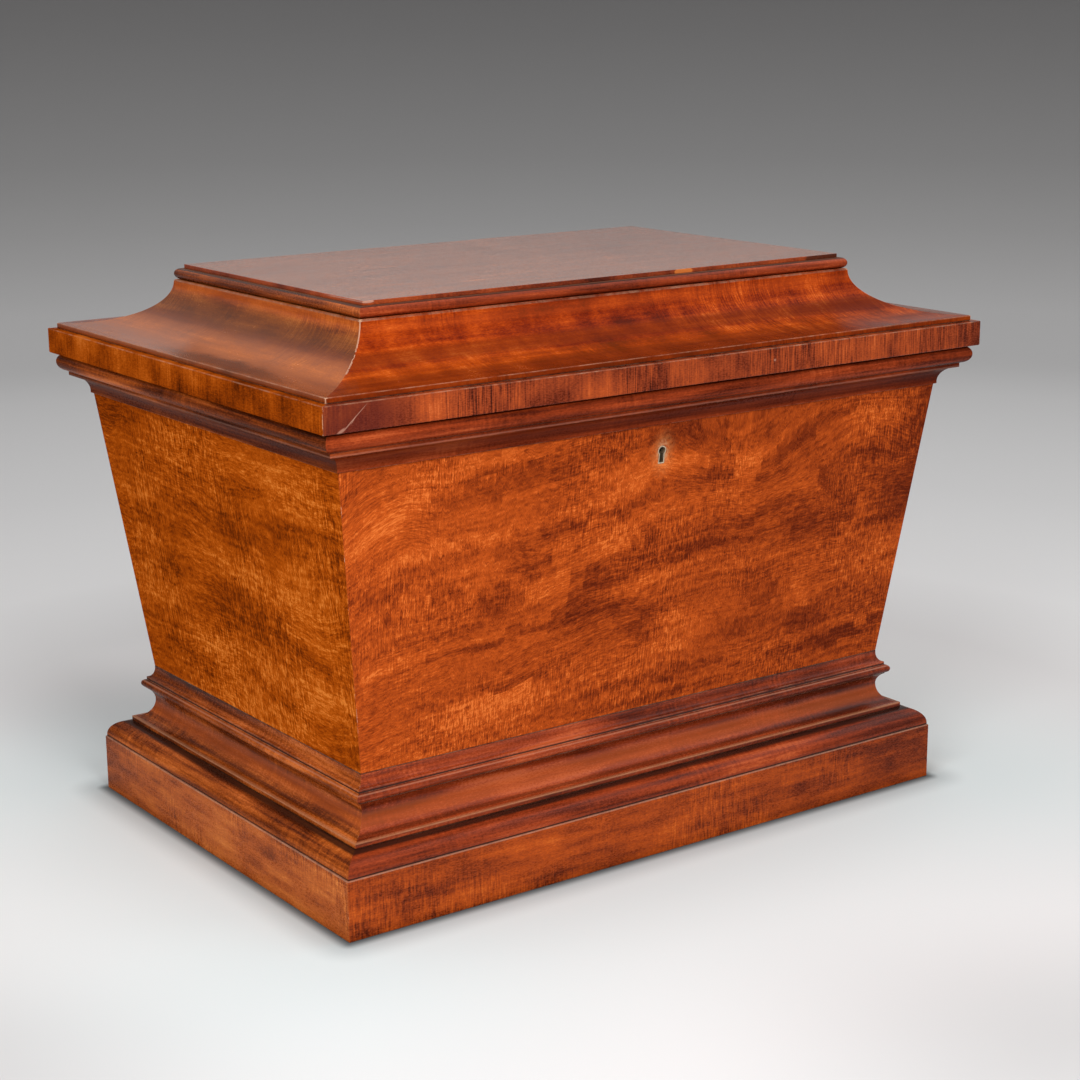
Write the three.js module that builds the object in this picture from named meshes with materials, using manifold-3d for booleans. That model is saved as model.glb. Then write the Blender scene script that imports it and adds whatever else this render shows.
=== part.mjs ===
// A cellarette: a free-standing tapered wooden chest for bottles, with a hinged lid shaped like the lid of a
// sarcophagus. Millimetres, +Z up, front towards -Y, origin on the floor under the middle.
import * as THREE from 'three';
import { mergeVertices } from 'three/addons/utils/BufferGeometryUtils.js';
import Module from 'manifold-3d';

const wasm = await Module();
wasm.setup();

// Fits
const GAP = 0.3; // between faces that are glued or bedded but not square to the axes
const OVERRUN = 4; // how far a cut runs past the face that it opens

// Carcass: four walls that lean out towards the top. Its plan is measured at the top edge.
const CARCASS_LENGTH = 709.2;
const CARCASS_DEPTH = 487;
const CARCASS_HEIGHT = 323.6;
const FLARE = 40; // each wall leans out this far from foot to top
const WALL = 22; // measured level
const BOTTOM_BOARD = 16;

// Plinth
const PLINTH_HEIGHT = 57.3;
const PLINTH_BOARD = 22;
const PLINTH_REACH = 40.7; // its face beyond the foot of the carcass
const BLOCK_LEG = 44;
const BLOCK_LIFT = 4;

// Quarter-round moulding on the plinth
const OVOLO_HEIGHT = 17.9;
const OVOLO_RUN = 20;
const OVOLO_QUIRK = 1.7; // upright edge under the curve
const OVOLO_SET_BACK = 1.3;
const LEDGE = 36; // how far the base mouldings run in under the carcass

// Waist moulding: fillet, scotia, bead, small fillet and small hollow
const WAIST_FILLET = 5.5;
const WAIST_FILLET_REACH = 19.3;
const SCOTIA_LIP = 0.9;
const SCOTIA_DROP = 19.9;
const SCOTIA_NECK_REACH = 0.6;
const SCOTIA_RADIUS = 12.4; // of the tighter curve above the throat
const SCOTIA_RISE = 11.1;
const BEAD_RADIUS = 4.1;
const BEAD_REACH = 7.1; // to the bead's centre
const BEAD_SEAT = 0.9;
const NECK_FILLET = 3.3;
const NECK_HOLLOW_REACH = 6.6;
const NECK_HOLLOW_HEIGHT = 10.3;
const NECK_MARGIN = 2;

// Cornice round the top of the carcass: hollow, fillet and torus
const CORNICE_LIP = 2.2;
const CORNICE_LIP_REACH = 2.2; // beyond the wall's face at the cornice's foot
const CORNICE_HOLLOW = 15;
const CORNICE_FILLET = 4.5;
const CORNICE_FILLET_STEP = 0.5;
const TORUS_RADIUS = 9;

// Lid
const RAIL_HEIGHT = 24.6;
const RAIL_WIDTH = 52;
const RAIL_OVERHANG = 26.5; // beyond the top edge of the carcass
const RAIL_ROUND = 1.5;
const COVE_SET_BACK = 7.1;
const COVE_FILLET = 5.4;
const COVE_FLAT = 2.2;
const COVE_RUN = 85;
const COVE_RISE = 44.6;
const COVE_NECK = 1.2;
const COVE_WALL = 24.8;
const COVE_CHEEK = 24; // height of the upright inner face
const COVE_FOOT = 74; // width of the flat underside
const TOP_TORUS_RADIUS = 5.25;
const TOP_TORUS_DEPTH = 16.4; // from its seat on the panel's edge to its nose
const TOP_TORUS_SET_BACK = 0.4; // of its nose from the head of the cove
const TOP_EDGE = 4;
const TOP_EDGE_SET_BACK = 7.7; // behind the nose of the torus

// Liner and bottle crate
const LINER_WALL = 1.6;
const LINER_DROP = 100; // rim below the top edge of the carcass
const LINER_BEAD = 2.4; // radius of the rolled rim
const DIVIDER_THICKNESS = 8;
const DIVIDER_HEIGHT = 165;
const CELLS_LONG = 5;
const CELLS_ACROSS = 3;

// Box lock, let into the inside of the front wall. Drops are measured down the wall from its top edge.
const LOCK_PLATE = 2.5;
const LOCK_WIDTH = 100;
const LOCK_HEIGHT = 94;
const SELVEDGE = 2.5;
const SELVEDGE_WIDTH = 16;
const CASE_WIDTH = 80;
const CASE_HEIGHT = 84;
const CASE_DEPTH = 13;
const CASE_SHEET = 1.2;
const CASE_DROP = 4;
const KEY_DROP = 63.3;
const DRILL_PIN_RADIUS = 1.6;
const KEYHOLE_RADIUS = 3.7;
const KEYHOLE_LENGTH = 11.4; // from the centre of the round part to the foot of the slot
const KEYHOLE_NECK = 4.4;
const KEYHOLE_FOOT = 5.2;
const LINING = 1;
const BOLT_THICKNESS = 3;
const BOLT_THROW = 8;
const FINGER_DROP = 8;
const FINGER_HEIGHT = 4;
const FINGER_LENGTH = 9.8;
const BOLT_NECK = 6;
const BOLT_NECK_HEIGHT = 14;
const BOLT_BAR = 6;
const BOLT_TAIL_WIDTH = 24;
const BOLT_TAIL_HEIGHT = 25;
const TALON_RADIUS = 5;
const BOLT_GUIDE_WIDTH = 14;
const BOLT_GUIDE_HEIGHT = 16;

// Link plate on the lid, with two eyes that drop into the lock
const EYE_SPREAD = 36; // between the two eyes
const EYE_THICKNESS = 2.5;
const EYE_WIDTH = 8;
const EYE_DROP = 13.6;
const EYE_ROOM = 0.8; // round a finger of the bolt
const EYE_CLEARANCE = 1; // between a finger and its eye when unlocked
const LINK_PLATE = 2.4;
const LINK_WIDTH = 14;
const LINK_LENGTH = 66;

// Butt hinges
const HINGE_INSET = 134.6; // from the top corner of the carcass to the middle of the hinge
const HINGE_LENGTH = 64;
const LEAF = 2;
const LEAF_WIDTH = 34; // from the pin's axis
const KNUCKLE_RADIUS = 3;
const KNUCKLES = 5;
const HINGE_PIN_RADIUS = 1.3;
const PIN_INSET = 0.5; // of the pin's axis from the nose of the cornice
const HINGE_PIN_HEAD = 1; // how far the pin stands out of the knuckles at each end

// Curves
const CURVE_STEPS = 14;
const FINE_CURVE_STEPS = 20;
const BARREL_SIDES = 24;
const RIM_STEPS = 8;

// Levels, from the floor up
const PLINTH_TOP = PLINTH_HEIGHT;
const OVOLO_TOP = PLINTH_TOP + OVOLO_HEIGHT;
const SCOTIA_FOOT = OVOLO_TOP + WAIST_FILLET;
const SCOTIA_THROAT = SCOTIA_FOOT + SCOTIA_DROP;
const BEAD_FOOT = SCOTIA_THROAT + SCOTIA_RISE + BEAD_SEAT;
const BEAD_TOP = BEAD_FOOT + 2 * BEAD_RADIUS;
const NECK_FOOT = BEAD_TOP + NECK_FILLET;
const CARCASS_FOOT = NECK_FOOT + NECK_HOLLOW_HEIGHT + NECK_MARGIN;
const CARCASS_TOP = CARCASS_FOOT + CARCASS_HEIGHT;
const CORNICE_FOOT = CARCASS_TOP - 2 * TORUS_RADIUS - CORNICE_FILLET - CORNICE_HOLLOW - CORNICE_LIP;
const FLOOR = CARCASS_FOOT + BOTTOM_BOARD;
const LINER_FLOOR = FLOOR + LINER_WALL;
const LINER_RIM = CARCASS_TOP - LINER_DROP;
const RAIL_TOP = CARCASS_TOP + RAIL_HEIGHT;
const COVE_SPRING = RAIL_TOP + COVE_FILLET;
const COVE_HEAD = COVE_SPRING + COVE_RISE;
const TOP_SEAT = COVE_HEAD + COVE_NECK;
const TOP_EDGE_FOOT = TOP_SEAT + 2 * TOP_TORUS_RADIUS;
const LID_TOP = TOP_EDGE_FOOT + TOP_EDGE;

// Every outline is drawn as (out, height): out is the distance outwards from the carcass's top edge
const HALF_LENGTH = CARCASS_LENGTH / 2;
const HALF_DEPTH = CARCASS_DEPTH / 2;
const wallFace = (height) => -FLARE * (CARCASS_TOP - height) / CARCASS_HEIGHT;
const wallInside = (height) => wallFace(height) - WALL;
const linerInside = (height) => wallInside(height) - GAP - LINER_WALL;
const FOOT_OUT = -FLARE;
const RAIL_FACE = RAIL_OVERHANG;
const COVE_FACE = RAIL_FACE - COVE_SET_BACK;
const COVE_SPRING_OUT = COVE_FACE - COVE_FLAT;
const COVE_HEAD_OUT = COVE_SPRING_OUT - COVE_RUN;
const TOP_TORUS_NOSE = COVE_HEAD_OUT - TOP_TORUS_SET_BACK;
const TOP_TORUS_SEAT = TOP_TORUS_NOSE - TOP_TORUS_DEPTH;
const CORNICE_LIP_OUT = wallFace(CORNICE_FOOT) + CORNICE_LIP_REACH;
const CORNICE_FILLET_OUT = CORNICE_LIP_OUT + CORNICE_HOLLOW + CORNICE_FILLET_STEP;
const TORUS_NOSE = CORNICE_FILLET_OUT + TORUS_RADIUS;

// Finishes
const finish = (color, roughness, metalness) => new THREE.MeshStandardMaterial({ color, roughness, metalness });
const flameVeneer = finish(0x9a4420, 0.32, 0);
const endVeneer = finish(0x8a4a22, 0.34, 0);
const mouldingWood = finish(0x5f2c1c, 0.36, 0);
const bandVeneer = finish(0x74381f, 0.34, 0);
const topVeneer = finish(0x7d4532, 0.3, 0);
const plinthVeneer = finish(0x7c4222, 0.36, 0);
const carcassWood = finish(0x9c7a50, 0.7, 0);
const dividerWood = finish(0x7a4a2c, 0.6, 0);
const zinc = finish(0x8d9194, 0.5, 0.9);
const brass = finish(0xb08a45, 0.38, 1);
const steel = finish(0x8f9193, 0.4, 1);

const model = new THREE.Group();
const UP = new THREE.Vector3(0, 0, 1);
const sides = [
  { name: 'front', outward: new THREE.Vector3(0, -1, 0), reach: HALF_DEPTH, run: HALF_LENGTH },
  { name: 'back', outward: new THREE.Vector3(0, 1, 0), reach: HALF_DEPTH, run: HALF_LENGTH },
  { name: 'left', outward: new THREE.Vector3(-1, 0, 0), reach: HALF_LENGTH, run: HALF_DEPTH },
  { name: 'right', outward: new THREE.Vector3(1, 0, 0), reach: HALF_LENGTH, run: HALF_DEPTH },
];

function addPiece(name, geometry, material) {
  const mesh = new THREE.Mesh(geometry, material);
  mesh.name = name;
  model.add(mesh);
}

// Solids for the cuts and joins
function toSolid(geometry) {
  const bare = geometry.clone();
  bare.deleteAttribute('normal');
  bare.deleteAttribute('uv');
  const merged = mergeVertices(bare);
  return new wasm.Manifold(new wasm.Mesh({
    numProp: 3,
    vertProperties: new Float32Array(merged.attributes.position.array),
    triVerts: new Uint32Array(merged.index.array),
  }));
}

function toGeometry(solid) {
  const mesh = solid.getMesh();
  const geometry = new THREE.BufferGeometry();
  geometry.setAttribute('position', new THREE.BufferAttribute(new Float32Array(mesh.vertProperties), 3));
  geometry.setIndex(new THREE.BufferAttribute(new Uint32Array(mesh.triVerts), 1));
  geometry.computeVertexNormals();
  return geometry;
}

function cut(geometry, ...tools) {
  let solid = toSolid(geometry);
  for (const tool of tools) solid = solid.subtract(toSolid(tool));
  return toGeometry(solid);
}

function join(...geometries) {
  let solid = toSolid(geometries[0]);
  for (const geometry of geometries.slice(1)) solid = solid.add(toSolid(geometry));
  return toGeometry(solid);
}

// A box between two corners
function block(low, high) {
  const size = high.map((value, axis) => value - low[axis]);
  const middle = high.map((value, axis) => (value + low[axis]) / 2);
  return new THREE.BoxGeometry(...size).translate(...middle);
}

// A level bar along X
function barAlongX(from, to, y, z, radius) {
  const bar = new THREE.CylinderGeometry(radius, radius, to - from, BARREL_SIDES);
  return bar.rotateZ(Math.PI / 2).translate((from + to) / 2, y, z);
}

// One length of wall, rail or moulding: an outline drawn out along its side, with both ends mitred
function mitredLength(outline, side) {
  const geometry = new THREE.ExtrudeGeometry(outline, {
    depth: 1, steps: 1, curveSegments: CURVE_STEPS, bevelEnabled: false,
  });
  const along = side.outward.clone().cross(UP);
  const mitreCut = GAP / Math.SQRT2;
  const place = geometry.attributes.position;
  for (let i = 0; i < place.count; i += 1) {
    const out = place.getX(i);
    const end = place.getZ(i) === 0 ? -1 : 1;
    const point = side.outward.clone().multiplyScalar(side.reach + out);
    point.addScaledVector(along, end * (side.run + out - mitreCut));
    place.setXYZ(i, point.x, point.y, place.getY(i));
  }
  geometry.computeVertexNormals();
  return geometry;
}

// A board or tray with the carcass's plan: level rectangles, one for each point of the outline, joined in turn
function fourSided(outline) {
  const corners = outline.flatMap(([out, height]) => {
    const x = HALF_LENGTH + out;
    const y = HALF_DEPTH + out;
    return [x, -y, height, x, y, height, -x, y, height, -x, -y, height];
  });
  const faces = [0, 2, 1, 0, 3, 2];
  for (let ring = 0; ring < outline.length - 1; ring += 1) {
    for (let corner = 0; corner < 4; corner += 1) {
      const a = ring * 4 + corner;
      const b = ring * 4 + (corner + 1) % 4;
      faces.push(a, b, b + 4, a, b + 4, a + 4);
    }
  }
  const last = (outline.length - 1) * 4;
  faces.push(last, last + 1, last + 2, last, last + 2, last + 3);
  const geometry = new THREE.BufferGeometry();
  geometry.setAttribute('position', new THREE.Float32BufferAttribute(corners, 3));
  geometry.setIndex(faces);
  geometry.computeVertexNormals();
  return geometry;
}

function outlineOf(points) {
  return new THREE.Shape(points.map(([x, y]) => new THREE.Vector2(x, y)));
}

// Plinth boards with a glue block in each corner
const plinthFace = FOOT_OUT + PLINTH_REACH;
const plinthBack = plinthFace - PLINTH_BOARD;
const plinthOutline = outlineOf([
  [plinthBack, 0], [plinthFace, 0], [plinthFace, PLINTH_TOP], [plinthBack, PLINTH_TOP],
]);
for (const side of sides) addPiece(`plinth_${side.name}`, mitredLength(plinthOutline, side), plinthVeneer);

for (const [xName, xSign] of [['left', -1], ['right', 1]]) {
  for (const [yName, ySign] of [['front', -1], ['back', 1]]) {
    const x = HALF_LENGTH + plinthBack;
    const y = HALF_DEPTH + plinthBack;
    const outline = outlineOf([
      [xSign * x, ySign * y],
      [xSign * (x - BLOCK_LEG), ySign * y],
      [xSign * x, ySign * (y - BLOCK_LEG)],
    ]);
    const height = PLINTH_TOP - BLOCK_LIFT;
    const glueBlock = new THREE.ExtrudeGeometry(outline, { depth: height, bevelEnabled: false });
    addPiece(`plinth_block_${yName}_${xName}`, glueBlock.translate(0, 0, BLOCK_LIFT), carcassWood);
  }
}

// Quarter-round moulding on the plinth
const ledgeEdge = FOOT_OUT - LEDGE;
const ovoloFace = plinthFace - OVOLO_SET_BACK;
const ovolo = new THREE.Shape();
ovolo.moveTo(ledgeEdge, PLINTH_TOP);
ovolo.lineTo(ovoloFace, PLINTH_TOP);
ovolo.absellipse(
  ovoloFace - OVOLO_RUN, PLINTH_TOP + OVOLO_QUIRK, OVOLO_RUN, OVOLO_HEIGHT - OVOLO_QUIRK, 0, Math.PI / 2, false,
);
ovolo.lineTo(ledgeEdge, OVOLO_TOP);
for (const side of sides) addPiece(`ovolo_${side.name}`, mitredLength(ovolo, side), mouldingWood);

// Waist moulding, from its fillet up to the foot of the carcass
const throat = FOOT_OUT + SCOTIA_NECK_REACH;
const waistFillet = FOOT_OUT + WAIST_FILLET_REACH;
const scotiaLip = waistFillet - SCOTIA_LIP;
const beadCentre = FOOT_OUT + BEAD_REACH;
const neckHollow = FOOT_OUT + NECK_HOLLOW_REACH;
const scotiaTurn = Math.asin(SCOTIA_RISE / SCOTIA_RADIUS);
const waist = new THREE.Shape();
waist.moveTo(ledgeEdge, OVOLO_TOP);
waist.lineTo(waistFillet, OVOLO_TOP);
waist.lineTo(waistFillet, SCOTIA_FOOT);
waist.absellipse(scotiaLip, SCOTIA_THROAT, scotiaLip - throat, SCOTIA_DROP, -Math.PI / 2, -Math.PI, true);
waist.absarc(throat + SCOTIA_RADIUS, SCOTIA_THROAT, SCOTIA_RADIUS, Math.PI, Math.PI - scotiaTurn, true);
waist.absarc(beadCentre, BEAD_FOOT + BEAD_RADIUS, BEAD_RADIUS, -Math.PI / 2, Math.PI / 2, false);
waist.lineTo(neckHollow, BEAD_TOP);
waist.absellipse(
  neckHollow, NECK_FOOT + NECK_HOLLOW_HEIGHT, NECK_HOLLOW_REACH, NECK_HOLLOW_HEIGHT, -Math.PI / 2, -Math.PI, true,
);
waist.lineTo(FOOT_OUT, CARCASS_FOOT);
waist.lineTo(ledgeEdge, CARCASS_FOOT);
for (const side of sides) addPiece(`waist_moulding_${side.name}`, mitredLength(waist, side), mouldingWood);

// The front wall leans by this angle. Lock pieces are drawn flat against its inner face, with y = 0 on that
// face and z = 0 at its top edge, and then laid against it.
const LEAN = Math.atan(FLARE / CARCASS_HEIGHT);
const wallThickness = WALL * Math.cos(LEAN);
const innerEdge = -(HALF_DEPTH - WALL);
const layOnFrontWall = (geometry) => geometry.rotateX(LEAN).translate(0, innerEdge, CARCASS_TOP);

// A keyhole, centred on its round part: a circle with a slot that widens towards its foot
function keyholeOutline(grow, Kind) {
  const radius = KEYHOLE_RADIUS + grow;
  const neck = KEYHOLE_NECK / 2 + grow;
  const foot = KEYHOLE_FOOT / 2 + grow;
  const length = KEYHOLE_LENGTH + grow;
  const turn = Math.asin(neck / radius);
  const outline = new Kind();
  outline.moveTo(-foot, -length);
  outline.lineTo(foot, -length);
  outline.absarc(0, 0, radius, turn - Math.PI / 2, Math.PI * 3 / 2 - turn, false);
  outline.lineTo(-foot, -length);
  return outline;
}

function keyholeBar(outline, from, to) {
  const bar = new THREE.ExtrudeGeometry(outline, {
    depth: to - from, curveSegments: FINE_CURVE_STEPS, bevelEnabled: false,
  });
  return layOnFrontWall(bar.rotateX(Math.PI / 2).translate(0, to, -KEY_DROP));
}

// Lock: the depth of each layer behind the wall's inner face
const caseFloor = -(LOCK_PLATE + CASE_DEPTH);
const pocketFloor = caseFloor - GAP;
const caseFoot = -(CASE_DROP + CASE_HEIGHT);
const boltMiddle = -(LOCK_PLATE + (CASE_DEPTH - CASE_SHEET) / 2);
const eyeDepth = innerEdge + boltMiddle * Math.cos(LEAN) + (FINGER_DROP + FINGER_HEIGHT / 2) * Math.sin(LEAN);
const plateEdge = LOCK_WIDTH / 2;
const caseEdge = CASE_WIDTH / 2;

const plateRecess = layOnFrontWall(block(
  [-plateEdge - GAP, -LOCK_PLATE - GAP, -LOCK_HEIGHT - GAP],
  [plateEdge + GAP, OVERRUN, OVERRUN],
));
const casePocket = layOnFrontWall(block(
  [-caseEdge - GAP, pocketFloor, caseFoot - GAP],
  [caseEdge + GAP, OVERRUN, OVERRUN],
));
const selvedgeRecess = block(
  [-plateEdge - GAP, innerEdge - SELVEDGE_WIDTH - GAP, CARCASS_TOP - SELVEDGE - GAP],
  [plateEdge + GAP, innerEdge + OVERRUN, CARCASS_TOP + OVERRUN],
);
const keyholeSeat = keyholeBar(
  keyholeOutline(LINING + GAP, THREE.Shape), -wallThickness - OVERRUN, pocketFloor + OVERRUN,
);

// Hinges: each leaf is let in flush, and the knuckles stand in the corner between the rail and the torus
const pinY = HALF_DEPTH + TORUS_NOSE - PIN_INSET;
const leafEdge = pinY - LEAF_WIDTH;
const knuckleEdge = pinY - KNUCKLE_RADIUS - GAP;
const hingePlace = HALF_LENGTH - HINGE_INSET;
const hinges = [['left', -hingePlace], ['right', hingePlace]];
const hingeRun = (x) => [x - HINGE_LENGTH / 2 - GAP, x + HINGE_LENGTH / 2 + GAP];
const lowerLeafCuts = hinges.map(([, x]) => {
  const [from, to] = hingeRun(x);
  return block([from, leafEdge - GAP, CARCASS_TOP - LEAF], [to, pinY + OVERRUN, CARCASS_TOP + OVERRUN]);
});
const upperLeafCuts = hinges.flatMap(([, x]) => {
  const [from, to] = hingeRun(x);
  const railBack = HALF_DEPTH + RAIL_FACE;
  return [
    block([from, leafEdge - GAP, CARCASS_TOP - OVERRUN], [to, pinY, CARCASS_TOP + LEAF]),
    block(
      [from - HINGE_PIN_HEAD, knuckleEdge - GAP, CARCASS_TOP - OVERRUN],
      [to + HINGE_PIN_HEAD, railBack + OVERRUN, CARCASS_TOP + KNUCKLE_RADIUS + GAP],
    ),
  ];
});

// Carcass walls
const wallOutline = outlineOf([
  [wallInside(CARCASS_FOOT), CARCASS_FOOT],
  [wallFace(CARCASS_FOOT), CARCASS_FOOT],
  [wallFace(CARCASS_TOP), CARCASS_TOP],
  [wallInside(CARCASS_TOP), CARCASS_TOP],
]);
const wallCuts = {
  front: [plateRecess, casePocket, selvedgeRecess, keyholeSeat],
  back: lowerLeafCuts,
};
for (const side of sides) {
  const wall = mitredLength(wallOutline, side);
  const cuts = wallCuts[side.name] ?? [];
  const isEnd = side.outward.x !== 0;
  addPiece(`carcass_${side.name}`, cuts.length ? cut(wall, ...cuts) : wall, isEnd ? endVeneer : flameVeneer);
}

// Bottom board, let down between the walls onto the ledge of the base mouldings
addPiece('bottom_board', fourSided([
  [wallInside(CARCASS_FOOT) - GAP, CARCASS_FOOT],
  [wallInside(FLOOR) - GAP, FLOOR],
]), carcassWood);

// Cornice
const torusFoot = CARCASS_TOP - 2 * TORUS_RADIUS;
const cornice = new THREE.Shape();
cornice.moveTo(wallFace(CORNICE_FOOT) + GAP, CORNICE_FOOT);
cornice.lineTo(CORNICE_LIP_OUT, CORNICE_FOOT);
cornice.absarc(
  CORNICE_LIP_OUT + CORNICE_HOLLOW, CORNICE_FOOT + CORNICE_LIP, CORNICE_HOLLOW, Math.PI, Math.PI / 2, true,
);
cornice.lineTo(CORNICE_FILLET_OUT, torusFoot - CORNICE_FILLET);
cornice.absarc(CORNICE_FILLET_OUT, torusFoot + TORUS_RADIUS, TORUS_RADIUS, -Math.PI / 2, Math.PI / 2, false);
cornice.lineTo(GAP, CARCASS_TOP);
for (const side of sides) {
  const length = mitredLength(cornice, side);
  const cuts = side.name === 'back' ? lowerLeafCuts : [];
  addPiece(`cornice_${side.name}`, cuts.length ? cut(length, ...cuts) : length, mouldingWood);
}

// Zinc liner: a tapered tray with a rim rolled inwards
const linerOutside = (height) => wallInside(height) - GAP;
const rimCentre = linerOutside(LINER_RIM) - LINER_BEAD;
const linerRim = [];
for (let step = 0; step <= RIM_STEPS; step += 1) {
  const angle = Math.PI * 3 / 2 * step / RIM_STEPS;
  linerRim.push([rimCentre + LINER_BEAD * Math.cos(angle), LINER_RIM + LINER_BEAD * Math.sin(angle)]);
}
const rimFoot = LINER_RIM - LINER_BEAD;
addPiece('liner', fourSided([
  [linerOutside(FLOOR), FLOOR],
  ...linerRim,
  [linerInside(rimFoot), rimFoot],
  [linerInside(LINER_FLOOR), LINER_FLOOR],
]), zinc);

// Bottle crate: trapezoid boards that follow the liner's slope, half-lapped where they cross
function dividerOutline(halfSpan, crossings, lapFromTop) {
  const foot = halfSpan + linerInside(LINER_FLOOR) - GAP;
  const head = halfSpan + linerInside(LINER_FLOOR + DIVIDER_HEIGHT) - GAP;
  const slot = DIVIDER_THICKNESS / 2 + GAP;
  const lap = DIVIDER_HEIGHT / 2;
  const notch = (level) => (middle) => [
    [middle - slot, level], [middle - slot, lap], [middle + slot, lap], [middle + slot, level],
  ];
  const footNotches = lapFromTop ? [] : crossings.flatMap(notch(0));
  const headNotches = lapFromTop ? crossings.flatMap(notch(DIVIDER_HEIGHT)).reverse() : [];
  return outlineOf([
    [-foot, 0], ...footNotches, [foot, 0], [head, DIVIDER_HEIGHT], ...headNotches, [-head, DIVIDER_HEIGHT],
  ]);
}

const evenly = (cells, halfSpan) => {
  const pitch = 2 * (halfSpan + linerInside(LINER_FLOOR)) / cells;
  return Array.from({ length: cells - 1 }, (_, i) => (i + 1 - cells / 2) * pitch);
};
const crossPlaces = evenly(CELLS_LONG, HALF_LENGTH);
const longPlaces = evenly(CELLS_ACROSS, HALF_DEPTH);
const dividerBoard = (outline) => {
  const board = new THREE.ExtrudeGeometry(outline, { depth: DIVIDER_THICKNESS, bevelEnabled: false });
  return board.translate(0, 0, -DIVIDER_THICKNESS / 2).rotateX(Math.PI / 2);
};
longPlaces.forEach((y, i) => {
  const board = dividerBoard(dividerOutline(HALF_LENGTH, crossPlaces, true));
  addPiece(`divider_long_${i + 1}`, board.translate(0, y, LINER_FLOOR), dividerWood);
});
crossPlaces.forEach((x, i) => {
  const board = dividerBoard(dividerOutline(HALF_DEPTH, longPlaces, false)).rotateZ(Math.PI / 2);
  addPiece(`divider_cross_${i + 1}`, board.translate(x, 0, LINER_FLOOR), dividerWood);
});

// Levels of the bolt, below the top edge of the wall
const fingerTop = -FINGER_DROP;
const neckFoot = fingerTop - BOLT_NECK_HEIGHT;
const barFoot = neckFoot - BOLT_BAR;
const tailFoot = barFoot - BOLT_TAIL_HEIGHT;

// Lock plate with its selvedge along the top edge of the wall, pierced for the two eyes, and a raised guide
// on its back that the bolt's tail slides on
const eyePlaces = [-EYE_SPREAD / 2, EYE_SPREAD / 2];
const selvedge = block(
  [-plateEdge, innerEdge - SELVEDGE_WIDTH, CARCASS_TOP - SELVEDGE - GAP / 2],
  [plateEdge, innerEdge, CARCASS_TOP - GAP / 2],
);
const lockPlate = layOnFrontWall(block(
  [-plateEdge, -LOCK_PLATE, -LOCK_HEIGHT],
  [plateEdge, 0, -SELVEDGE / 2],
));
const boltGuide = layOnFrontWall(block(
  [(BOLT_THROW - BOLT_GUIDE_WIDTH) / 2, boltMiddle + BOLT_THICKNESS / 2 + GAP, barFoot - BOLT_GUIDE_HEIGHT],
  [(BOLT_THROW + BOLT_GUIDE_WIDTH) / 2, -LOCK_PLATE / 2, barFoot],
));
const slotHalfLength = EYE_THICKNESS / 2 + EYE_CLEARANCE;
const slotHalfWidth = EYE_WIDTH / 2 + EYE_CLEARANCE;
const eyeSlots = eyePlaces.map((x) => block(
  [x - slotHalfLength, eyeDepth - slotHalfWidth, CARCASS_TOP - SELVEDGE - OVERRUN],
  [x + slotHalfLength, eyeDepth + slotHalfWidth, CARCASS_TOP + OVERRUN],
));
addPiece('lock_plate', cut(join(selvedge, lockPlate, boltGuide), ...eyeSlots), brass);

// Lock cap: a shallow tray over the works, open above for the eyes and pierced for the key
const capShell = layOnFrontWall(block(
  [-caseEdge, caseFloor, caseFoot],
  [caseEdge, -LOCK_PLATE - GAP, -CASE_DROP],
));
const capHollow = layOnFrontWall(block(
  [-caseEdge + CASE_SHEET, caseFloor + CASE_SHEET, caseFoot + CASE_SHEET],
  [caseEdge - CASE_SHEET, OVERRUN, OVERRUN],
));
const capKeyhole = keyholeBar(keyholeOutline(0, THREE.Shape), caseFloor - OVERRUN, caseFloor + OVERRUN);
addPiece('lock_cap', cut(capShell, capHollow, capKeyhole), steel);

// Bolt: a tail with a talon for the key, a bar, and two necks with fingers that point the same way
const hook = (eye) => {
  const tip = eye - slotHalfLength;
  const root = tip - FINGER_LENGTH;
  return [
    [root, neckFoot], [root, fingerTop - FINGER_HEIGHT], [tip, fingerTop - FINGER_HEIGHT], [tip, fingerTop],
    [root - BOLT_NECK, fingerTop], [root - BOLT_NECK, neckFoot],
  ];
};
const [leftHook, rightHook] = eyePlaces.map(hook);
const barLeft = leftHook[leftHook.length - 1][0];
const barRight = rightHook[0][0];
const boltOutline = new THREE.Shape();
boltOutline.moveTo(-BOLT_TAIL_WIDTH / 2, tailFoot);
boltOutline.absarc(0, tailFoot, TALON_RADIUS, Math.PI, 0, true);
boltOutline.lineTo(BOLT_TAIL_WIDTH / 2, tailFoot);
boltOutline.lineTo(BOLT_TAIL_WIDTH / 2, barFoot);
boltOutline.lineTo(barRight, barFoot);
for (const [x, z] of [...rightHook, ...leftHook]) boltOutline.lineTo(x, z);
boltOutline.lineTo(barLeft, barFoot);
boltOutline.lineTo(-BOLT_TAIL_WIDTH / 2, barFoot);
const bolt = new THREE.ExtrudeGeometry(boltOutline, {
  depth: BOLT_THICKNESS, curveSegments: CURVE_STEPS, bevelEnabled: false,
});
bolt.rotateX(Math.PI / 2).translate(0, boltMiddle + BOLT_THICKNESS / 2, 0);
addPiece('lock_bolt', layOnFrontWall(bolt), steel);

// Drill pin that the barrel of the key turns on, riveted in the plate
const drillPinLength = CASE_DEPTH + GAP;
const drillPin = new THREE.CylinderGeometry(DRILL_PIN_RADIUS, DRILL_PIN_RADIUS, drillPinLength, BARREL_SIDES);
drillPin.translate(0, -LOCK_PLATE - GAP - drillPinLength / 2, -KEY_DROP);
addPiece('lock_drill_pin', layOnFrontWall(drillPin), steel);

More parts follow.
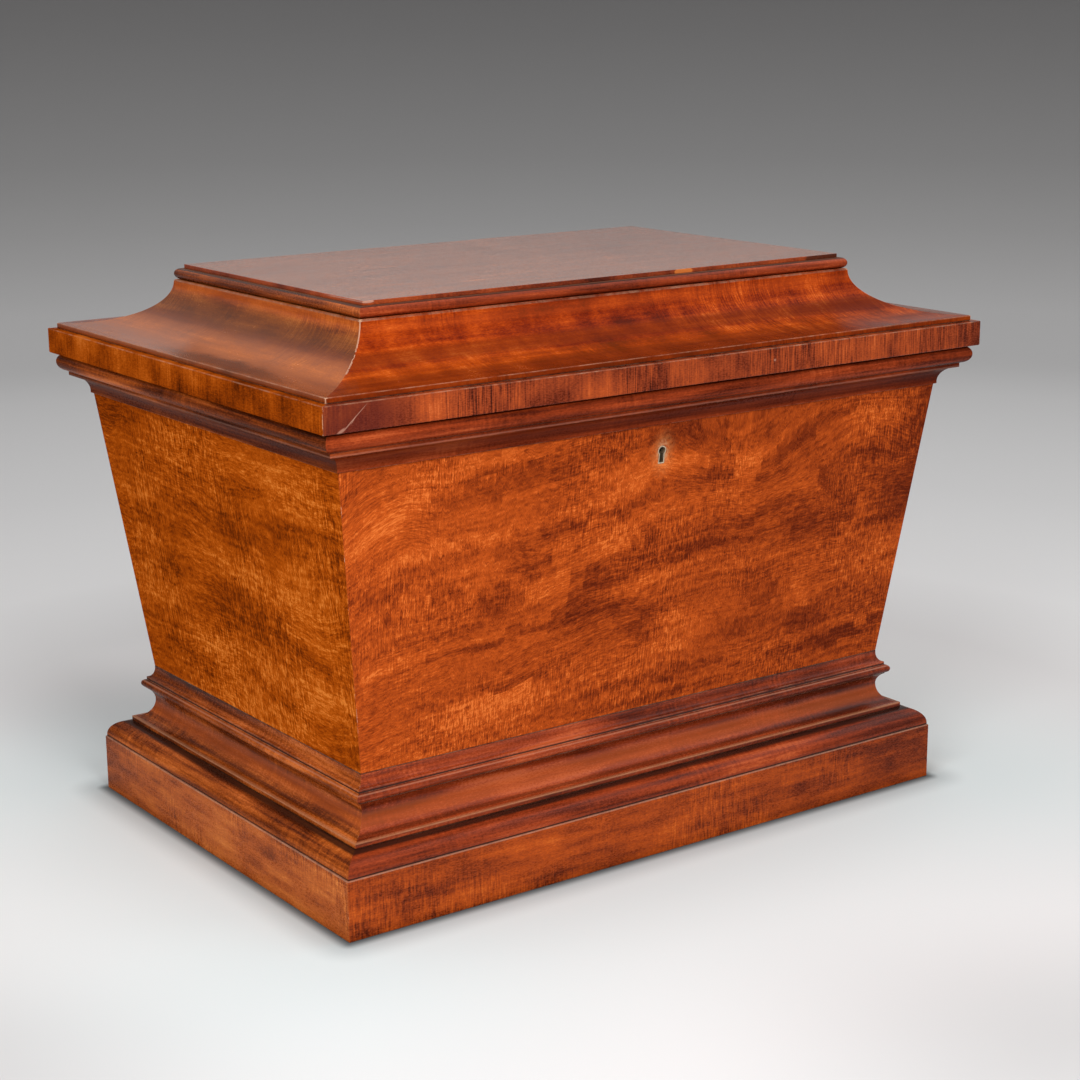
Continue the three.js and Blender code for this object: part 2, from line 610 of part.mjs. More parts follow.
// Thin brass lining of the keyhole, flush with the front
const lining = keyholeOutline(LINING, THREE.Shape);
lining.holes.push(keyholeOutline(0, THREE.Path));
addPiece('keyhole_lining', keyholeBar(lining, -wallThickness, pocketFloor), brass);

// Lid rails, with seats for the hinge leaves and the link plate
const railBackEdge = RAIL_FACE - RAIL_WIDTH;
const rail = new THREE.Shape();
rail.moveTo(railBackEdge, CARCASS_TOP);
rail.absarc(RAIL_FACE - RAIL_ROUND, CARCASS_TOP + RAIL_ROUND, RAIL_ROUND, -Math.PI / 2, 0, false);
rail.lineTo(RAIL_FACE, RAIL_TOP);
rail.lineTo(railBackEdge, RAIL_TOP);
const linkSeat = block(
  [-LINK_LENGTH / 2 - GAP, eyeDepth - LINK_WIDTH / 2 - GAP, CARCASS_TOP - OVERRUN],
  [LINK_LENGTH / 2 + GAP, eyeDepth + LINK_WIDTH / 2 + GAP, CARCASS_TOP + LINK_PLATE],
);
const railCuts = { front: [linkSeat], back: upperLeafCuts };
for (const side of sides) {
  const length = mitredLength(rail, side);
  const cuts = railCuts[side.name] ?? [];
  addPiece(`lid_rail_${side.name}`, cuts.length ? cut(length, ...cuts) : length, bandVeneer);
}

// Coved slopes of the lid, solid mouldings with a chamfered back that leaves room for the bottle necks
const coveInside = COVE_HEAD_OUT - COVE_WALL;
const cove = new THREE.Shape();
cove.moveTo(COVE_FACE - COVE_FOOT, RAIL_TOP);
cove.lineTo(COVE_FACE, RAIL_TOP);
cove.lineTo(COVE_FACE, COVE_SPRING);
cove.absellipse(COVE_SPRING_OUT, COVE_HEAD, COVE_RUN, COVE_RISE, -Math.PI / 2, -Math.PI, true);
cove.lineTo(COVE_HEAD_OUT - COVE_NECK, TOP_SEAT);
cove.lineTo(coveInside, TOP_SEAT);
cove.lineTo(coveInside, TOP_SEAT - COVE_CHEEK);
for (const side of sides) addPiece(`lid_cove_${side.name}`, mitredLength(cove, side), mouldingWood);

// Half-round moulding under the edge of the top
const topTorus = new THREE.Shape();
topTorus.moveTo(TOP_TORUS_SEAT, TOP_SEAT);
topTorus.absarc(
  TOP_TORUS_NOSE - TOP_TORUS_RADIUS, TOP_SEAT + TOP_TORUS_RADIUS, TOP_TORUS_RADIUS, -Math.PI / 2, Math.PI / 2, false,
);
topTorus.lineTo(TOP_TORUS_SEAT, TOP_EDGE_FOOT);
for (const side of sides) addPiece(`lid_torus_${side.name}`, mitredLength(topTorus, side), mouldingWood);

// Flat top: its tongue lies inside the half-round moulding and its edge shows above it as a fillet
const topFace = TOP_TORUS_NOSE - TOP_EDGE_SET_BACK;
addPiece('lid_top', fourSided([
  [TOP_TORUS_SEAT, TOP_SEAT],
  [TOP_TORUS_SEAT, TOP_EDGE_FOOT],
  [topFace, TOP_EDGE_FOOT],
  [topFace, LID_TOP],
]), topVeneer);

// Link plate: let into the underside of the front rail, with two eyes that hang down into the lock
const eyeFoot = CARCASS_TOP - EYE_DROP;
const fingerMiddle = CARCASS_TOP + boltMiddle * Math.sin(LEAN) + (fingerTop - FINGER_HEIGHT / 2) * Math.cos(LEAN);
const eyeHalfHeight = FINGER_HEIGHT / 2 + EYE_ROOM;
const eyeHalfDepth = BOLT_THICKNESS / 2 + EYE_ROOM;
const linkBody = block(
  [-LINK_LENGTH / 2, eyeDepth - LINK_WIDTH / 2, CARCASS_TOP],
  [LINK_LENGTH / 2, eyeDepth + LINK_WIDTH / 2, CARCASS_TOP + LINK_PLATE],
);
const eyeLugs = eyePlaces.map((x) => block(
  [x - EYE_THICKNESS / 2, eyeDepth - EYE_WIDTH / 2, eyeFoot],
  [x + EYE_THICKNESS / 2, eyeDepth + EYE_WIDTH / 2, CARCASS_TOP + LINK_PLATE / 2],
));
const eyeHoles = eyePlaces.map((x) => block(
  [x - EYE_THICKNESS, eyeDepth - eyeHalfDepth, fingerMiddle - eyeHalfHeight],
  [x + EYE_THICKNESS, eyeDepth + eyeHalfDepth, fingerMiddle + eyeHalfHeight],
));
addPiece('link_plate', cut(join(linkBody, ...eyeLugs), ...eyeHoles), brass);

// Butt hinges: knuckles alternate between the two leaves, starting and ending on the carcass leaf
const knuckleLength = HINGE_LENGTH / KNUCKLES;
function hingeLeaf(x, own, low, high) {
  const from = x - HINGE_LENGTH / 2;
  let leaf = toSolid(block([from, leafEdge, low], [x + HINGE_LENGTH / 2, knuckleEdge, high]));
  for (let i = own; i < KNUCKLES; i += 2) {
    const start = from + i * knuckleLength + GAP / 2;
    const stop = start + knuckleLength - GAP;
    leaf = leaf.add(toSolid(block([start, knuckleEdge - LEAF, low], [stop, pinY, high])));
    leaf = leaf.add(toSolid(barAlongX(start, stop, pinY, CARCASS_TOP, KNUCKLE_RADIUS)));
  }
  const bore = barAlongX(from - OVERRUN, x + HINGE_LENGTH / 2 + OVERRUN, pinY, CARCASS_TOP, HINGE_PIN_RADIUS + GAP);
  return toGeometry(leaf.subtract(toSolid(bore)));
}
for (const [name, x] of hinges) {
  addPiece(`hinge_leaf_carcass_${name}`, hingeLeaf(x, 0, CARCASS_TOP - LEAF, CARCASS_TOP), brass);
  addPiece(`hinge_leaf_lid_${name}`, hingeLeaf(x, 1, CARCASS_TOP, CARCASS_TOP + LEAF), brass);
  const pinEnd = HINGE_LENGTH / 2 + HINGE_PIN_HEAD;
  addPiece(`hinge_pin_${name}`, barAlongX(x - pinEnd, x + pinEnd, pinY, CARCASS_TOP, HINGE_PIN_RADIUS), steel);
}

export default model;
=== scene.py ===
"""A sarcophagus-shaped cellarette in polished mahogany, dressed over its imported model. Metres, +Z up."""
import math
import bpy
from mathutils import Matrix, Vector


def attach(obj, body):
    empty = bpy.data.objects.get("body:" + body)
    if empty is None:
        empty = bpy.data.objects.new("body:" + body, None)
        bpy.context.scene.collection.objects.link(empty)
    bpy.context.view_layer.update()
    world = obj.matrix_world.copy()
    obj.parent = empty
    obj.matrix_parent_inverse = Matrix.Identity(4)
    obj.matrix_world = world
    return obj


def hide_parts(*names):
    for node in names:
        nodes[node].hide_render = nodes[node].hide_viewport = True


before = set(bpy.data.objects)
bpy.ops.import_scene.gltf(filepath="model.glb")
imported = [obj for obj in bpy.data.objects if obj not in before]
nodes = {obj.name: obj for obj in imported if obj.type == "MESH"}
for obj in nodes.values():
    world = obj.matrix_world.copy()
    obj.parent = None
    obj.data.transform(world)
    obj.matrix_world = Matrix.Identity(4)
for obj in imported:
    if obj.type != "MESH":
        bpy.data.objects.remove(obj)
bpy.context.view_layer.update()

# Plinth: four softwood boards faced with upright mahogany veneer, mitred at the corners and glued round
# corner blocks. Its top arris stands a little proud of the moulding that is glued down on it.
MM = 0.001
DEPTH_STEP = 111.1  # every outline reaches this much less to the front than to the ends
PLINTH_REACH = 355.3  # a reach is measured from the middle of the chest to one end
PLINTH_HEIGHT = 57.3
PLINTH_BOARD = 22
SIDES = {"front": (0, -1), "back": (0, 1), "left": (-1, 0), "right": (1, 0)}
FACE, ARRIS, HIDDEN = range(3)  # the three finishes of a piece of woodwork
LEVEL = 0.9  # a face whose normal rises or falls more steeply than this lies level
MERGED = 1e-6
ON_MITRE = 2e-5


def start(piece):
    bpy.ops.object.select_all(action="DESELECT")
    piece.select_set(True)
    bpy.context.view_layer.objects.active = piece


def pick(piece, kind, test=lambda part: True):
    """Opens a piece for editing with those of its points, edges or faces selected that pass a test."""
    start(piece)
    mesh = piece.data
    for part in (mesh.vertices, mesh.edges, mesh.polygons):
        part.foreach_set("select", [False] * len(part))
    bpy.context.tool_settings.mesh_select_mode = (kind == "vertices", kind == "edges", kind == "polygons")
    for part in getattr(mesh, kind):
        if test(part):
            part.select = True
            for index in part.vertices if kind != "vertices" else ():
                mesh.vertices[index].select = True
    bpy.ops.object.mode_set(mode="EDIT")


def shut():
    bpy.ops.object.mode_set(mode="OBJECT")


def apply(piece, kind, **settings):
    start(piece)
    modifier = piece.modifiers.new(kind.lower(), kind)
    for setting, value in settings.items():
        setattr(modifier, setting, value)
    bpy.ops.object.modifier_apply(modifier=modifier.name)


def make_room(piece):
    """Gives a piece a place for each of its three finishes."""
    for _ in (FACE, ARRIS, HIDDEN):
        piece.data.materials.append(None)


def mark(piece, finish, test=lambda face: True):
    """Marks the faces that pass a test for one of the three finishes."""
    pick(piece, "polygons", test)
    piece.active_material_index = finish
    bpy.ops.object.material_slot_assign()
    shut()


def carry_round(outline):
    """Draws an outline of (reach, height) at one corner and carries it round the chest, past four mitres."""
    bpy.ops.object.select_all(action="DESELECT")
    bpy.ops.mesh.primitive_plane_add(size=MM)
    whole = bpy.context.object
    pick(whole, "vertices")
    bpy.ops.mesh.merge(type="CENTER")
    last = Vector((0, 0, 0))
    for reach, height in (*outline, outline[0]):
        place = Vector((reach, DEPTH_STEP - reach, height)) * MM
        if last.length:
            bpy.ops.mesh.extrude_vertices_move(TRANSFORM_OT_translate={"value": place - last})
        else:
            bpy.ops.transform.translate(value=place)
        last = place
    bpy.ops.mesh.select_all(action="SELECT")
    bpy.ops.mesh.remove_doubles(threshold=MERGED)
    bpy.context.tool_settings.mesh_select_mode = (False, True, False)
    for flip in ((-1, 1, 1), (1, -1, 1), (-1, 1, 1), (1, -1, 1)):
        bpy.ops.mesh.extrude_edges_move(TRANSFORM_OT_translate={"value": (0, 0, 0)})
        bpy.ops.transform.resize(value=flip, center_override=(0, 0, 0))
    bpy.ops.mesh.select_all(action="SELECT")
    bpy.ops.mesh.remove_doubles(threshold=MERGED)
    bpy.ops.mesh.normals_make_consistent(inside=False)
    shut()
    return whole


def off_mitre(place):
    return abs(abs(place[0]) - abs(place[1]) - DEPTH_STEP * MM)


def outward(face):
    """Above 0 for a face that looks out from the middle of the chest, and below 0 for one that looks in."""
    return face.normal.x * face.center.x + face.normal.y * face.center.y


def inward(face):
    return outward(face) < -1e-4 and abs(face.normal.z) < LEVEL


def under(face):
    return inward(face) or face.normal.z < -LEVEL


def ease(whole, arris, corner, hidden):
    """Rounds the arrises and, more, the mitred corners, and marks the rounded faces and the hidden ones."""
    pick(whole, "edges", lambda edge: False)
    bpy.ops.mesh.edges_select_sharp(sharpness=math.radians(28))
    bpy.ops.transform.edge_bevelweight(value=arris / corner)
    shut()
    sharp = {edge.index for edge in whole.data.edges if edge.select}
    points = whole.data.vertices

    def at_corner(edge):
        return edge.index in sharp and all(off_mitre(points[i].co) < ON_MITRE for i in edge.vertices)

    def rounded_inside(face):
        return face.material_index == ARRIS and outward(face) < -1e-5

    pick(whole, "edges", at_corner)
    bpy.ops.transform.edge_bevelweight(value=1 - arris / corner)
    shut()
    make_room(whole)
    mark(whole, HIDDEN, hidden)
    apply(whole, "BEVEL", limit_method="WEIGHT", width=corner * MM, segments=3, material=ARRIS)
    mark(whole, HIDDEN, rounded_inside)


def part_at_mitres(whole, group):
    """Cuts a frame into its four mitred lengths and closes their ends."""
    lengths = {}
    for side, (x, y) in SIDES.items():
        length = bpy.data.objects.new(f"{side}_{group}", whole.data.copy())
        bpy.context.collection.objects.link(length)
        for other in (-1, 1):
            place = (other * DEPTH_STEP * MM, 0, 0) if y else (x * DEPTH_STEP * MM, 0, 0)
            normal = (other, -y, 0) if y else (-x, other, 0)
            pick(length, "vertices")
            bpy.ops.mesh.bisect(
                plane_co=place, plane_no=normal, use_fill=True, clear_outer=True, threshold=1e-7,
            )
            bpy.ops.mesh.select_all(action="SELECT")
            bpy.ops.mesh.fill_holes(sides=0)
            shut()
        lengths[side] = length
    bpy.data.objects.remove(whole)
    return lengths


def fit(piece, node, body, slot, *finishes):
    """Smooths a finished piece, gives it its finishes and hangs it on the body that it moves with."""
    start(piece)
    bpy.ops.object.shade_smooth_by_angle(angle=math.radians(32))
    apply(piece, "WEIGHTED_NORMAL", keep_sharp=True)
    while len(piece.data.materials) < len(finishes):
        piece.data.materials.append(None)
    for place, finish in zip(piece.material_slots, finishes):
        place.material = finish
    if node:
        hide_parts(node)
    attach(piece, body)


def hang(lengths, group, body, slot, finishes):
    """Fits the four mitred lengths of a frame."""
    for side, length in lengths.items():
        fit(length, f"{group}_{side}", body, slot, *finishes[side])


def tone(red, green, blue):
    """A colour as the eye reads it, 0 to 255, as the amounts of light that a shader takes."""
    return (*(((c / 255 + 0.055) / 1.055) ** 2.4 if c > 10 else c / 3294.6 for c in (red, green, blue)), 1)


class Amount:
    """Something that varies over a surface. Sums written with it become nodes of its finish."""

    def __init__(self, finish, socket):
        self.finish, self.socket = finish, socket

    def worked(self, operation, *values):
        return self.finish.add("ShaderNodeMath", {"operation": operation}, dict(enumerate(values)))

    def __add__(self, other):
        return self.worked("ADD", self, other)

    def __sub__(self, other):
        return self.worked("SUBTRACT", self, other)

    def __rsub__(self, other):
        return self.worked("SUBTRACT", other, self)

    def __mul__(self, other):
        return self.worked("MULTIPLY", self, other)

    __radd__, __rmul__ = __add__, __mul__

    def size(self):
        return self.worked("ABSOLUTE", self)

    def root(self):
        return self.worked("SQRT", self)

    def at_least(self, least):
        return self.worked("MAXIMUM", self, least)

    def snapped(self, step):
        return self.worked("SNAP", self, step)

    def rising(self, low, high):
        """0 below low, 1 above high and smooth between them."""
        values = {"Value": self, "From Min": low, "From Max": high}
        return self.finish.add("ShaderNodeMapRange", {"interpolation_type": "SMOOTHSTEP"}, values)


class Finish:
    """A material whose nodes are added one by one."""

    def __init__(self, name, **constants):
        self.material = bpy.data.materials.new(name)
        self.material.use_nodes = True
        self.tree = self.material.node_tree
        self.shader = self.tree.nodes["Principled BSDF"]
        for socket, value in constants.items():
            self.shader.inputs[socket.replace("_", " ")].default_value = value
        self.place = self.add("ShaderNodeTexCoord", result="Object")
        self.x, self.y, self.z = (self.add("ShaderNodeSeparateXYZ", {}, {0: self.place}, i) for i in range(3))

    def add(self, kind, settings=None, sockets=None, result=0):
        node = self.tree.nodes.new(kind)
        for setting, value in (settings or {}).items():
            if setting == "stops":
                while len(node.color_ramp.elements) < len(value):
                    node.color_ramp.elements.new(1)
                for stop, (position, colour) in zip(node.color_ramp.elements, value):
                    stop.position, stop.color = position, colour
            else:
                setattr(node, setting, value)
        for socket, value in (sockets or {}).items():
            self.put(node.inputs[socket], value)
        return Amount(self, node.outputs[result])

    def put(self, socket, value):
        if isinstance(value, Amount):
            self.tree.links.new(value.socket, socket)
        else:
            socket.default_value = value

    def at(self, along, across, up):
        return self.add("ShaderNodeCombineXYZ", {}, {0: along, 1: across, 2: up})

    def cloud(self, place, stretch, detail=2, roughness=0.5, shift=0):
        """Noise about 0, finer as its stretch grows: a number for each axis, or for along and across."""
        sockets = {0: place, "Location": (shift, shift, shift), "Scale": (*stretch, stretch[-1])[:3]}
        mapped = self.add("ShaderNodeMapping", {}, sockets)
        values = {"Vector": mapped, "Scale": 1, "Detail": detail, "Roughness": roughness}
        return self.add("ShaderNodeTexNoise", {}, values) - 0.5

    def patch(self, place, middle, half, turn=0, soft=0.5):
        """1 inside an oval patch of the figure and 0 outside it. Sizes are in mm, the turn in degrees."""
        sockets = {
            0: place, "Location": (middle[0] * MM, 0, middle[1] * MM),
            "Rotation": (0, -math.radians(turn), 0), "Scale": (half[0] * MM, 1, half[1] * MM),
        }
        oval = self.add("ShaderNodeMapping", {"vector_type": "TEXTURE"}, sockets)
        reach = self.add("ShaderNodeVectorMath", {"operation": "LENGTH"}, {0: oval}, 1)
        return 1 - reach.rising(soft, 2 - soft)

    def ramp(self, amount, *stops):
        return self.add("ShaderNodeValToRGB", {"stops": stops}, {0: amount})

    def mix(self, amount, first, second, blend="MIX"):
        settings = {"data_type": "RGBA", "blend_type": blend}
        return self.add("ShaderNodeMix", settings, {0: amount, 6: first, 7: second}, 2)

    def bump(self, height, distance):
        return self.add("ShaderNodeBump", {}, {"Strength": 1.0, "Distance": distance, "Height": height})

    def give(self, **sockets):
        """Feeds the shader and returns the finished material."""
        for socket, value in sockets.items():
            self.put(self.shader.inputs[socket.replace("_", " ")], value)
        return self.material


BARE_MAHOGANY = tone(204, 158, 128)
GRIME = tone(70, 52, 44)
CONTRAST = 4  # a cloud seldom strays more than a quarter from its middle
MITRE_WEAR = (1.2, 3)  # mm from a mitre: worn as a corner up to here, and as an arris from there


def mahogany(
    name, run, tones, fibre=(6, 220), fibres=0.5, blots=(14, 26), blotting=0.4, ticks=(380, 30), ticking=0.2,
    drift=0.3, seed=0, sheen=0.3, gloss=0.25, painted_falloff=0.2, figure=None, lines=(), bare_arris=None,
    bare_mitre=0.2, after=None,
):
    """French-polished mahogany. Its tones go from dark to light; stretches are (along the side, across it).

    A painted light line is (height, half-width, strength, tone): painted shade along a quirk, a hollow or
    a joint, or a painted highlight along an arris or a round, partly wear where it lies on an arris.
    """
    finish = Finish(name, IOR=1.5, Specular_IOR_Level=sheen)
    along, across = (finish.x, finish.y) if run == "x" else (finish.y, finish.x)
    place = finish.at(along, across, finish.z)
    level = 0.5
    if figure:
        level, place = figure(finish, along, finish.z)
    grain = finish.cloud(place, fibre, 3, 0.6, seed)
    blot = finish.cloud(place, blots, 3, 0.55, seed + 3)
    tick = finish.cloud(place, ticks, 2, 0.6, seed + 5)
    broad = finish.cloud(place, (4, 5), 1, 0.5, seed + 7)
    pore = finish.cloud(place, (330, 900), 2, 0.7, seed)
    tick_here = finish.cloud(place, (9, 9, 9), 1, 0.5, seed + 9).rising(-0.12, 0.12)
    # Painted light falloff: each side darkens along its length, towards the chest's right end or its back, as
    # the light falls off.
    level = level - along * painted_falloff
    level = level + (fibres * grain + blotting * blot + drift * broad) * CONTRAST
    level = level + (ticking * tick * tick_here + 0.2 * pore) * CONTRAST
    colour = finish.ramp(level, *((i / (len(tones) - 1), tone(*shade)) for i, shade in enumerate(tones)))
    # Painted light: bands of shade and highlight laid at set heights along the piece.
    for height, half, strength, shade in lines:
        line = 1 - (finish.z - height * MM).size().rising(half * 0.4 * MM, half * MM)
        colour = finish.mix(line * strength, colour, tone(*shade))
    if after:
        colour = after(finish, colour)
    if bare_arris is not None:
        rubbed = finish.cloud(finish.place, (70, 70, 70), 4, 0.75, seed)
        corner = (finish.x.size() - finish.y.size() - DEPTH_STEP * MM).size()
        near = 1 - corner.rising(MITRE_WEAR[0] * MM, MITRE_WEAR[1] * MM)
        worn = rubbed.rising(0.1 - bare_arris, 0.6 - bare_arris) * (1 - near) * 0.42
        worn = worn + rubbed.rising(0.3 - bare_mitre, 0.42 - bare_mitre) * near * 0.8
        colour = finish.mix(worn, finish.mix(0.1, colour, GRIME), BARE_MAHOGANY)
    skin = finish.bump(pore * 0.5 + tick * 0.2, 0.2 * MM)
    return finish.give(Base_Color=colour, Roughness=gloss + 0.25 * (blot + pore), Normal=skin)


def bare(name, run, dark, light):
    """Unpolished wood on a face that is hidden."""
    finish = Finish(name, Specular_IOR_Level=0.3)
    along, across = (finish.x, finish.y) if run == "x" else (finish.y, finish.x)
    place = finish.at(along, across, finish.z)
    fibre = finish.cloud(place, (5, 140), 4, 0.65) + finish.cloud(place, (3, 14), 2)
    saw = finish.cloud(place, (500, 8), 2)
    colour = finish.ramp(fibre * 1.6 + 0.5, (0.1, tone(*dark)), (0.9, tone(*light)))
    return finish.give(Base_Color=colour, Roughness=0.75, Normal=finish.bump(fibre + saw, 0.3 * MM))


RUNS = {"front": "x", "back": "x", "left": "y", "right": "y"}
SEED_STEP = 11.3
softwood = {run: bare(f"bare_softwood_{run}", run, (130, 86, 50), (188, 138, 88)) for run in "xy"}
rough_mahogany = {run: bare(f"bare_mahogany_{run}", run, (84, 50, 34), (132, 84, 58)) for run in "xy"}


def finishes(group, tones, bare_arris=0.2, back=rough_mahogany, **ways):
    """The polished face, worn arris and bare back of each side. Seeds differ so that no two sides match."""
    made = {}
    for number, (side, run) in enumerate(RUNS.items()):
        way = {"seed": SEED_STEP * number, **ways, **ways.get(side, {})}
        for key in RUNS:
            way.pop(key, None)
        face = mahogany(f"{group}_{side}", run, tones[run], **way)
        arris = mahogany(f"{group}_arris_{side}", run, tones[run], bare_arris=bare_arris, **way)
        made[side] = (face, arris, back[run])
    return made


plinth = carry_round([
    (PLINTH_REACH - PLINTH_BOARD, 0), (PLINTH_REACH, 0), (PLINTH_REACH, PLINTH_HEIGHT),
    (PLINTH_REACH - PLINTH_BOARD, PLINTH_HEIGHT),
])
ease(plinth, arris=0.7, corner=0.9, hidden=under)
PLINTH_TONES = {
    "x": ((60, 18, 6), (108, 38, 10), (150, 60, 16), (182, 77, 20), (208, 102, 34)),
    "y": ((80, 32, 8), (130, 56, 14), (174, 82, 26), (200, 106, 42), (224, 134, 64)),
}
plinth_finishes = finishes(
    "plinth", PLINTH_TONES, back=softwood, fibre=(12, 120), fibres=0.25, blots=(22, 40), blotting=0.18,
    ticks=(620, 60), ticking=0.45, drift=0.12, sheen=0.1, gloss=0.3, bare_arris=0.28,
    front={"ticking": 0.3}, left={"sheen": 0.05, "painted_falloff": 0.5},
    # A painted highlight along the top arris.
    lines=((PLINTH_HEIGHT - 0.2, 0.9, 0.4, (168, 136, 118)),),
)
hang(part_at_mitres(plinth, "plinth"), "plinth", "carcass", "plinth_veneer", plinth_finishes)

# Glue blocks: offcuts of pine, cut to a triangle and rubbed into the corners of the plinth with hot glue.
# The glue has run over their faces and darkened.
glued = Finish("glued_pine", Specular_IOR_Level=0.3)
growth = glued.cloud(glued.place, (120, 120, 6), 4, 0.6) + glued.cloud(glued.place, (18, 18, 3), 2)
run_glue = glued.cloud(glued.place, (40, 40, 22), 3, 0.6).rising(0.08, 0.16)
pine = glued.ramp(growth * 1.5 + 0.5, (0.1, tone(150, 112, 70)), (0.9, tone(196, 160, 110)))
glued.give(Base_Color=glued.mix(run_glue, pine, tone(92, 58, 30)), Roughness=0.7 - 0.4 * run_glue)
for corner in ("front_left", "front_right", "back_left", "back_right"):
    nodes[f"plinth_block_{corner}"].material_slots[0].material = glued.material

# Quarter-round moulding: solid mahogany run with a hollow plane, mitred and glued down on the plinth. The
# quirk under it and the one above are painted dark, as painted shade.
LEDGE_REACH = 278.6  # the base mouldings run in this far under the walls
OVOLO_REACH = 354
OVOLO_QUIRK = 1.7
OVOLO_WIDTH, OVOLO_RISE = 20, 16.2
OVOLO_HEAD = PLINTH_HEIGHT + OVOLO_QUIRK + OVOLO_RISE


def bend(middle, radii, first, last, steps=16):
    """Points of a bend from one angle to another, in degrees, anticlockwise from straight outwards."""
    turns = [math.radians(first + (last - first) * step / steps) for step in range(steps + 1)]
    return [(middle[0] + radii[0] * math.cos(a), middle[1] + radii[1] * math.sin(a)) for a in turns]


ovolo = carry_round([
    (LEDGE_REACH, PLINTH_HEIGHT), (OVOLO_REACH, PLINTH_HEIGHT),
    *bend((OVOLO_REACH - OVOLO_WIDTH, PLINTH_HEIGHT + OVOLO_QUIRK), (OVOLO_WIDTH, OVOLO_RISE), 0, 90),
    (LEDGE_REACH, OVOLO_HEAD),
])
ease(ovolo, arris=0.35, corner=0.6, hidden=under)
MOULDING_TONES = {
    "x": ((70, 22, 10), (98, 34, 14), (128, 48, 20), (152, 60, 26), (182, 84, 42)),
    "y": ((60, 22, 6), (94, 38, 10), (130, 58, 16), (166, 80, 26), (200, 106, 46)),
}
ovolo_finishes = finishes(
    "ovolo", MOULDING_TONES, fibre=(7, 200), fibres=0.4, blots=(8, 50), ticks=(300, 40), sheen=0.16,
    gloss=0.3, left={"sheen": 0.03, "painted_falloff": 0.1},
    # Painted shade in the quirk under it and the one above.
    lines=((PLINTH_HEIGHT + 0.7, 1.2, 0.9, (42, 20, 14)), (OVOLO_HEAD + 0.2, 1.8, 0.9, (42, 22, 16))),
)
hang(part_at_mitres(ovolo, "ovolo"), "ovolo", "carcass", "moulding_wood", ovolo_finishes)

# Waist moulding: fillet, deep hollow, bead, small fillet and small hollow in one piece of mahogany, worked
# with moulding planes, mitred, and glued to the ledge that the walls stand on.
FILLET_REACH, FILLET_HEAD = 333.9, 80.7
LIP_REACH = 333.0
THROAT_REACH, THROAT_HEIGHT = 315.2, 100.6
UPPER_HOLLOW = 12.4  # the hollow's tighter radius above its throat
HOLLOW_TURN = 116.47  # degrees, where the hollow meets the bead
BEAD_REACH, BEAD_HEIGHT, BEAD = 321.7, 116.7, 4.1
WALL_FOOT_REACH, WALL_FOOT = 314.6, 136.4
NECK_WIDTH, NECK_RISE, NECK_MARGIN = 6.6, 10.3, 2
neck_reach, neck_head = WALL_FOOT_REACH + NECK_WIDTH, WALL_FOOT - NECK_MARGIN
waist = carry_round([
    (LEDGE_REACH, OVOLO_HEAD), (FILLET_REACH, OVOLO_HEAD), (FILLET_REACH, FILLET_HEAD),
    *bend((LIP_REACH, THROAT_HEIGHT), (LIP_REACH - THROAT_REACH, THROAT_HEIGHT - FILLET_HEAD), -90, -180),
    *bend((THROAT_REACH + UPPER_HOLLOW, THROAT_HEIGHT), (UPPER_HOLLOW, UPPER_HOLLOW), 180, HOLLOW_TURN)[1:],
    *bend((BEAD_REACH, BEAD_HEIGHT), (BEAD, BEAD), -90, 90), (neck_reach, BEAD_HEIGHT + BEAD),
    *bend((neck_reach, neck_head), (NECK_WIDTH, NECK_RISE), -90, -180),
    (WALL_FOOT_REACH, WALL_FOOT), (LEDGE_REACH, WALL_FOOT),
])
ease(waist, arris=0.35, corner=0.7, hidden=under)
waist_finishes = finishes(
    "waist", MOULDING_TONES, fibre=(7, 160), fibres=0.35, blots=(9, 50), blotting=0.45, ticks=(300, 50),
    sheen=0.2, gloss=0.26, bare_arris=0.26, left={"sheen": 0.05, "painted_falloff": 0.7},
    # Painted light along the profile: shade in the quirks, low in the hollow, under the bead and at the
    # wall's foot; highlights on the fillet, in the hollow and on the bead's top, which is partly wear.
    lines=(
        (OVOLO_HEAD + 0.2, 1.6, 0.9, (40, 20, 14)), (FILLET_HEAD - 0.5, 0.9, 0.6, (182, 122, 84)),
        (FILLET_HEAD + 1.8, 1.2, 0.5, (70, 30, 16)), (THROAT_HEIGHT - 7.6, 9, 0.45, (186, 88, 40)),
        (THROAT_HEIGHT + 8.4, 4, 0.4, (80, 32, 16)), (BEAD_HEIGHT - 4.5, 1.1, 0.9, (36, 18, 12)),
        (BEAD_HEIGHT + 3.3, 0.7, 0.4, (190, 130, 100)), (BEAD_HEIGHT + 5.3, 1.1, 0.9, (40, 20, 14)),
        (WALL_FOOT - 0.4, 0.8, 0.7, (44, 20, 12)),
    ),
)
hang(part_at_mitres(waist, "waist_moulding"), "waist_moulding", "carcass", "moulding_wood", waist_finishes)

# Carcass walls: softwood boards that lean outwards, faced with figured mahogany and mitred at the corners.
# The front has a plum mottle with bands that rise to the left, the ends a softer and more golden one.
WALL_HEAD_REACH, WALL_HEAD = 354.6, 460
WALL = 22
LEAN = math.atan((WALL_HEAD_REACH - WALL_FOOT_REACH) / (WALL_HEAD - WALL_FOOT))
FRONT_INSIDE = -(WALL_HEAD_REACH - WALL - DEPTH_STEP)  # the front wall's inner face at its head
FIGURE_STEP = 17.1  # between the seeds of two walls' figures
GAP = 0.3  # between metalwork and its seat
OVERRUN = 4  # how far a cut runs past the face that it opens
KEYHOLE_DROP = 63.3  # down the wall from its head, as for the lock
KEYHOLE, KEYHOLE_SLOT = 5.0, 3.7  # the radius of its round part, and half the width of its slot
KEYHOLE_NECK, KEYHOLE_FOOT = 1.7, 12.7  # the slot's head and foot, under the middle of the round part
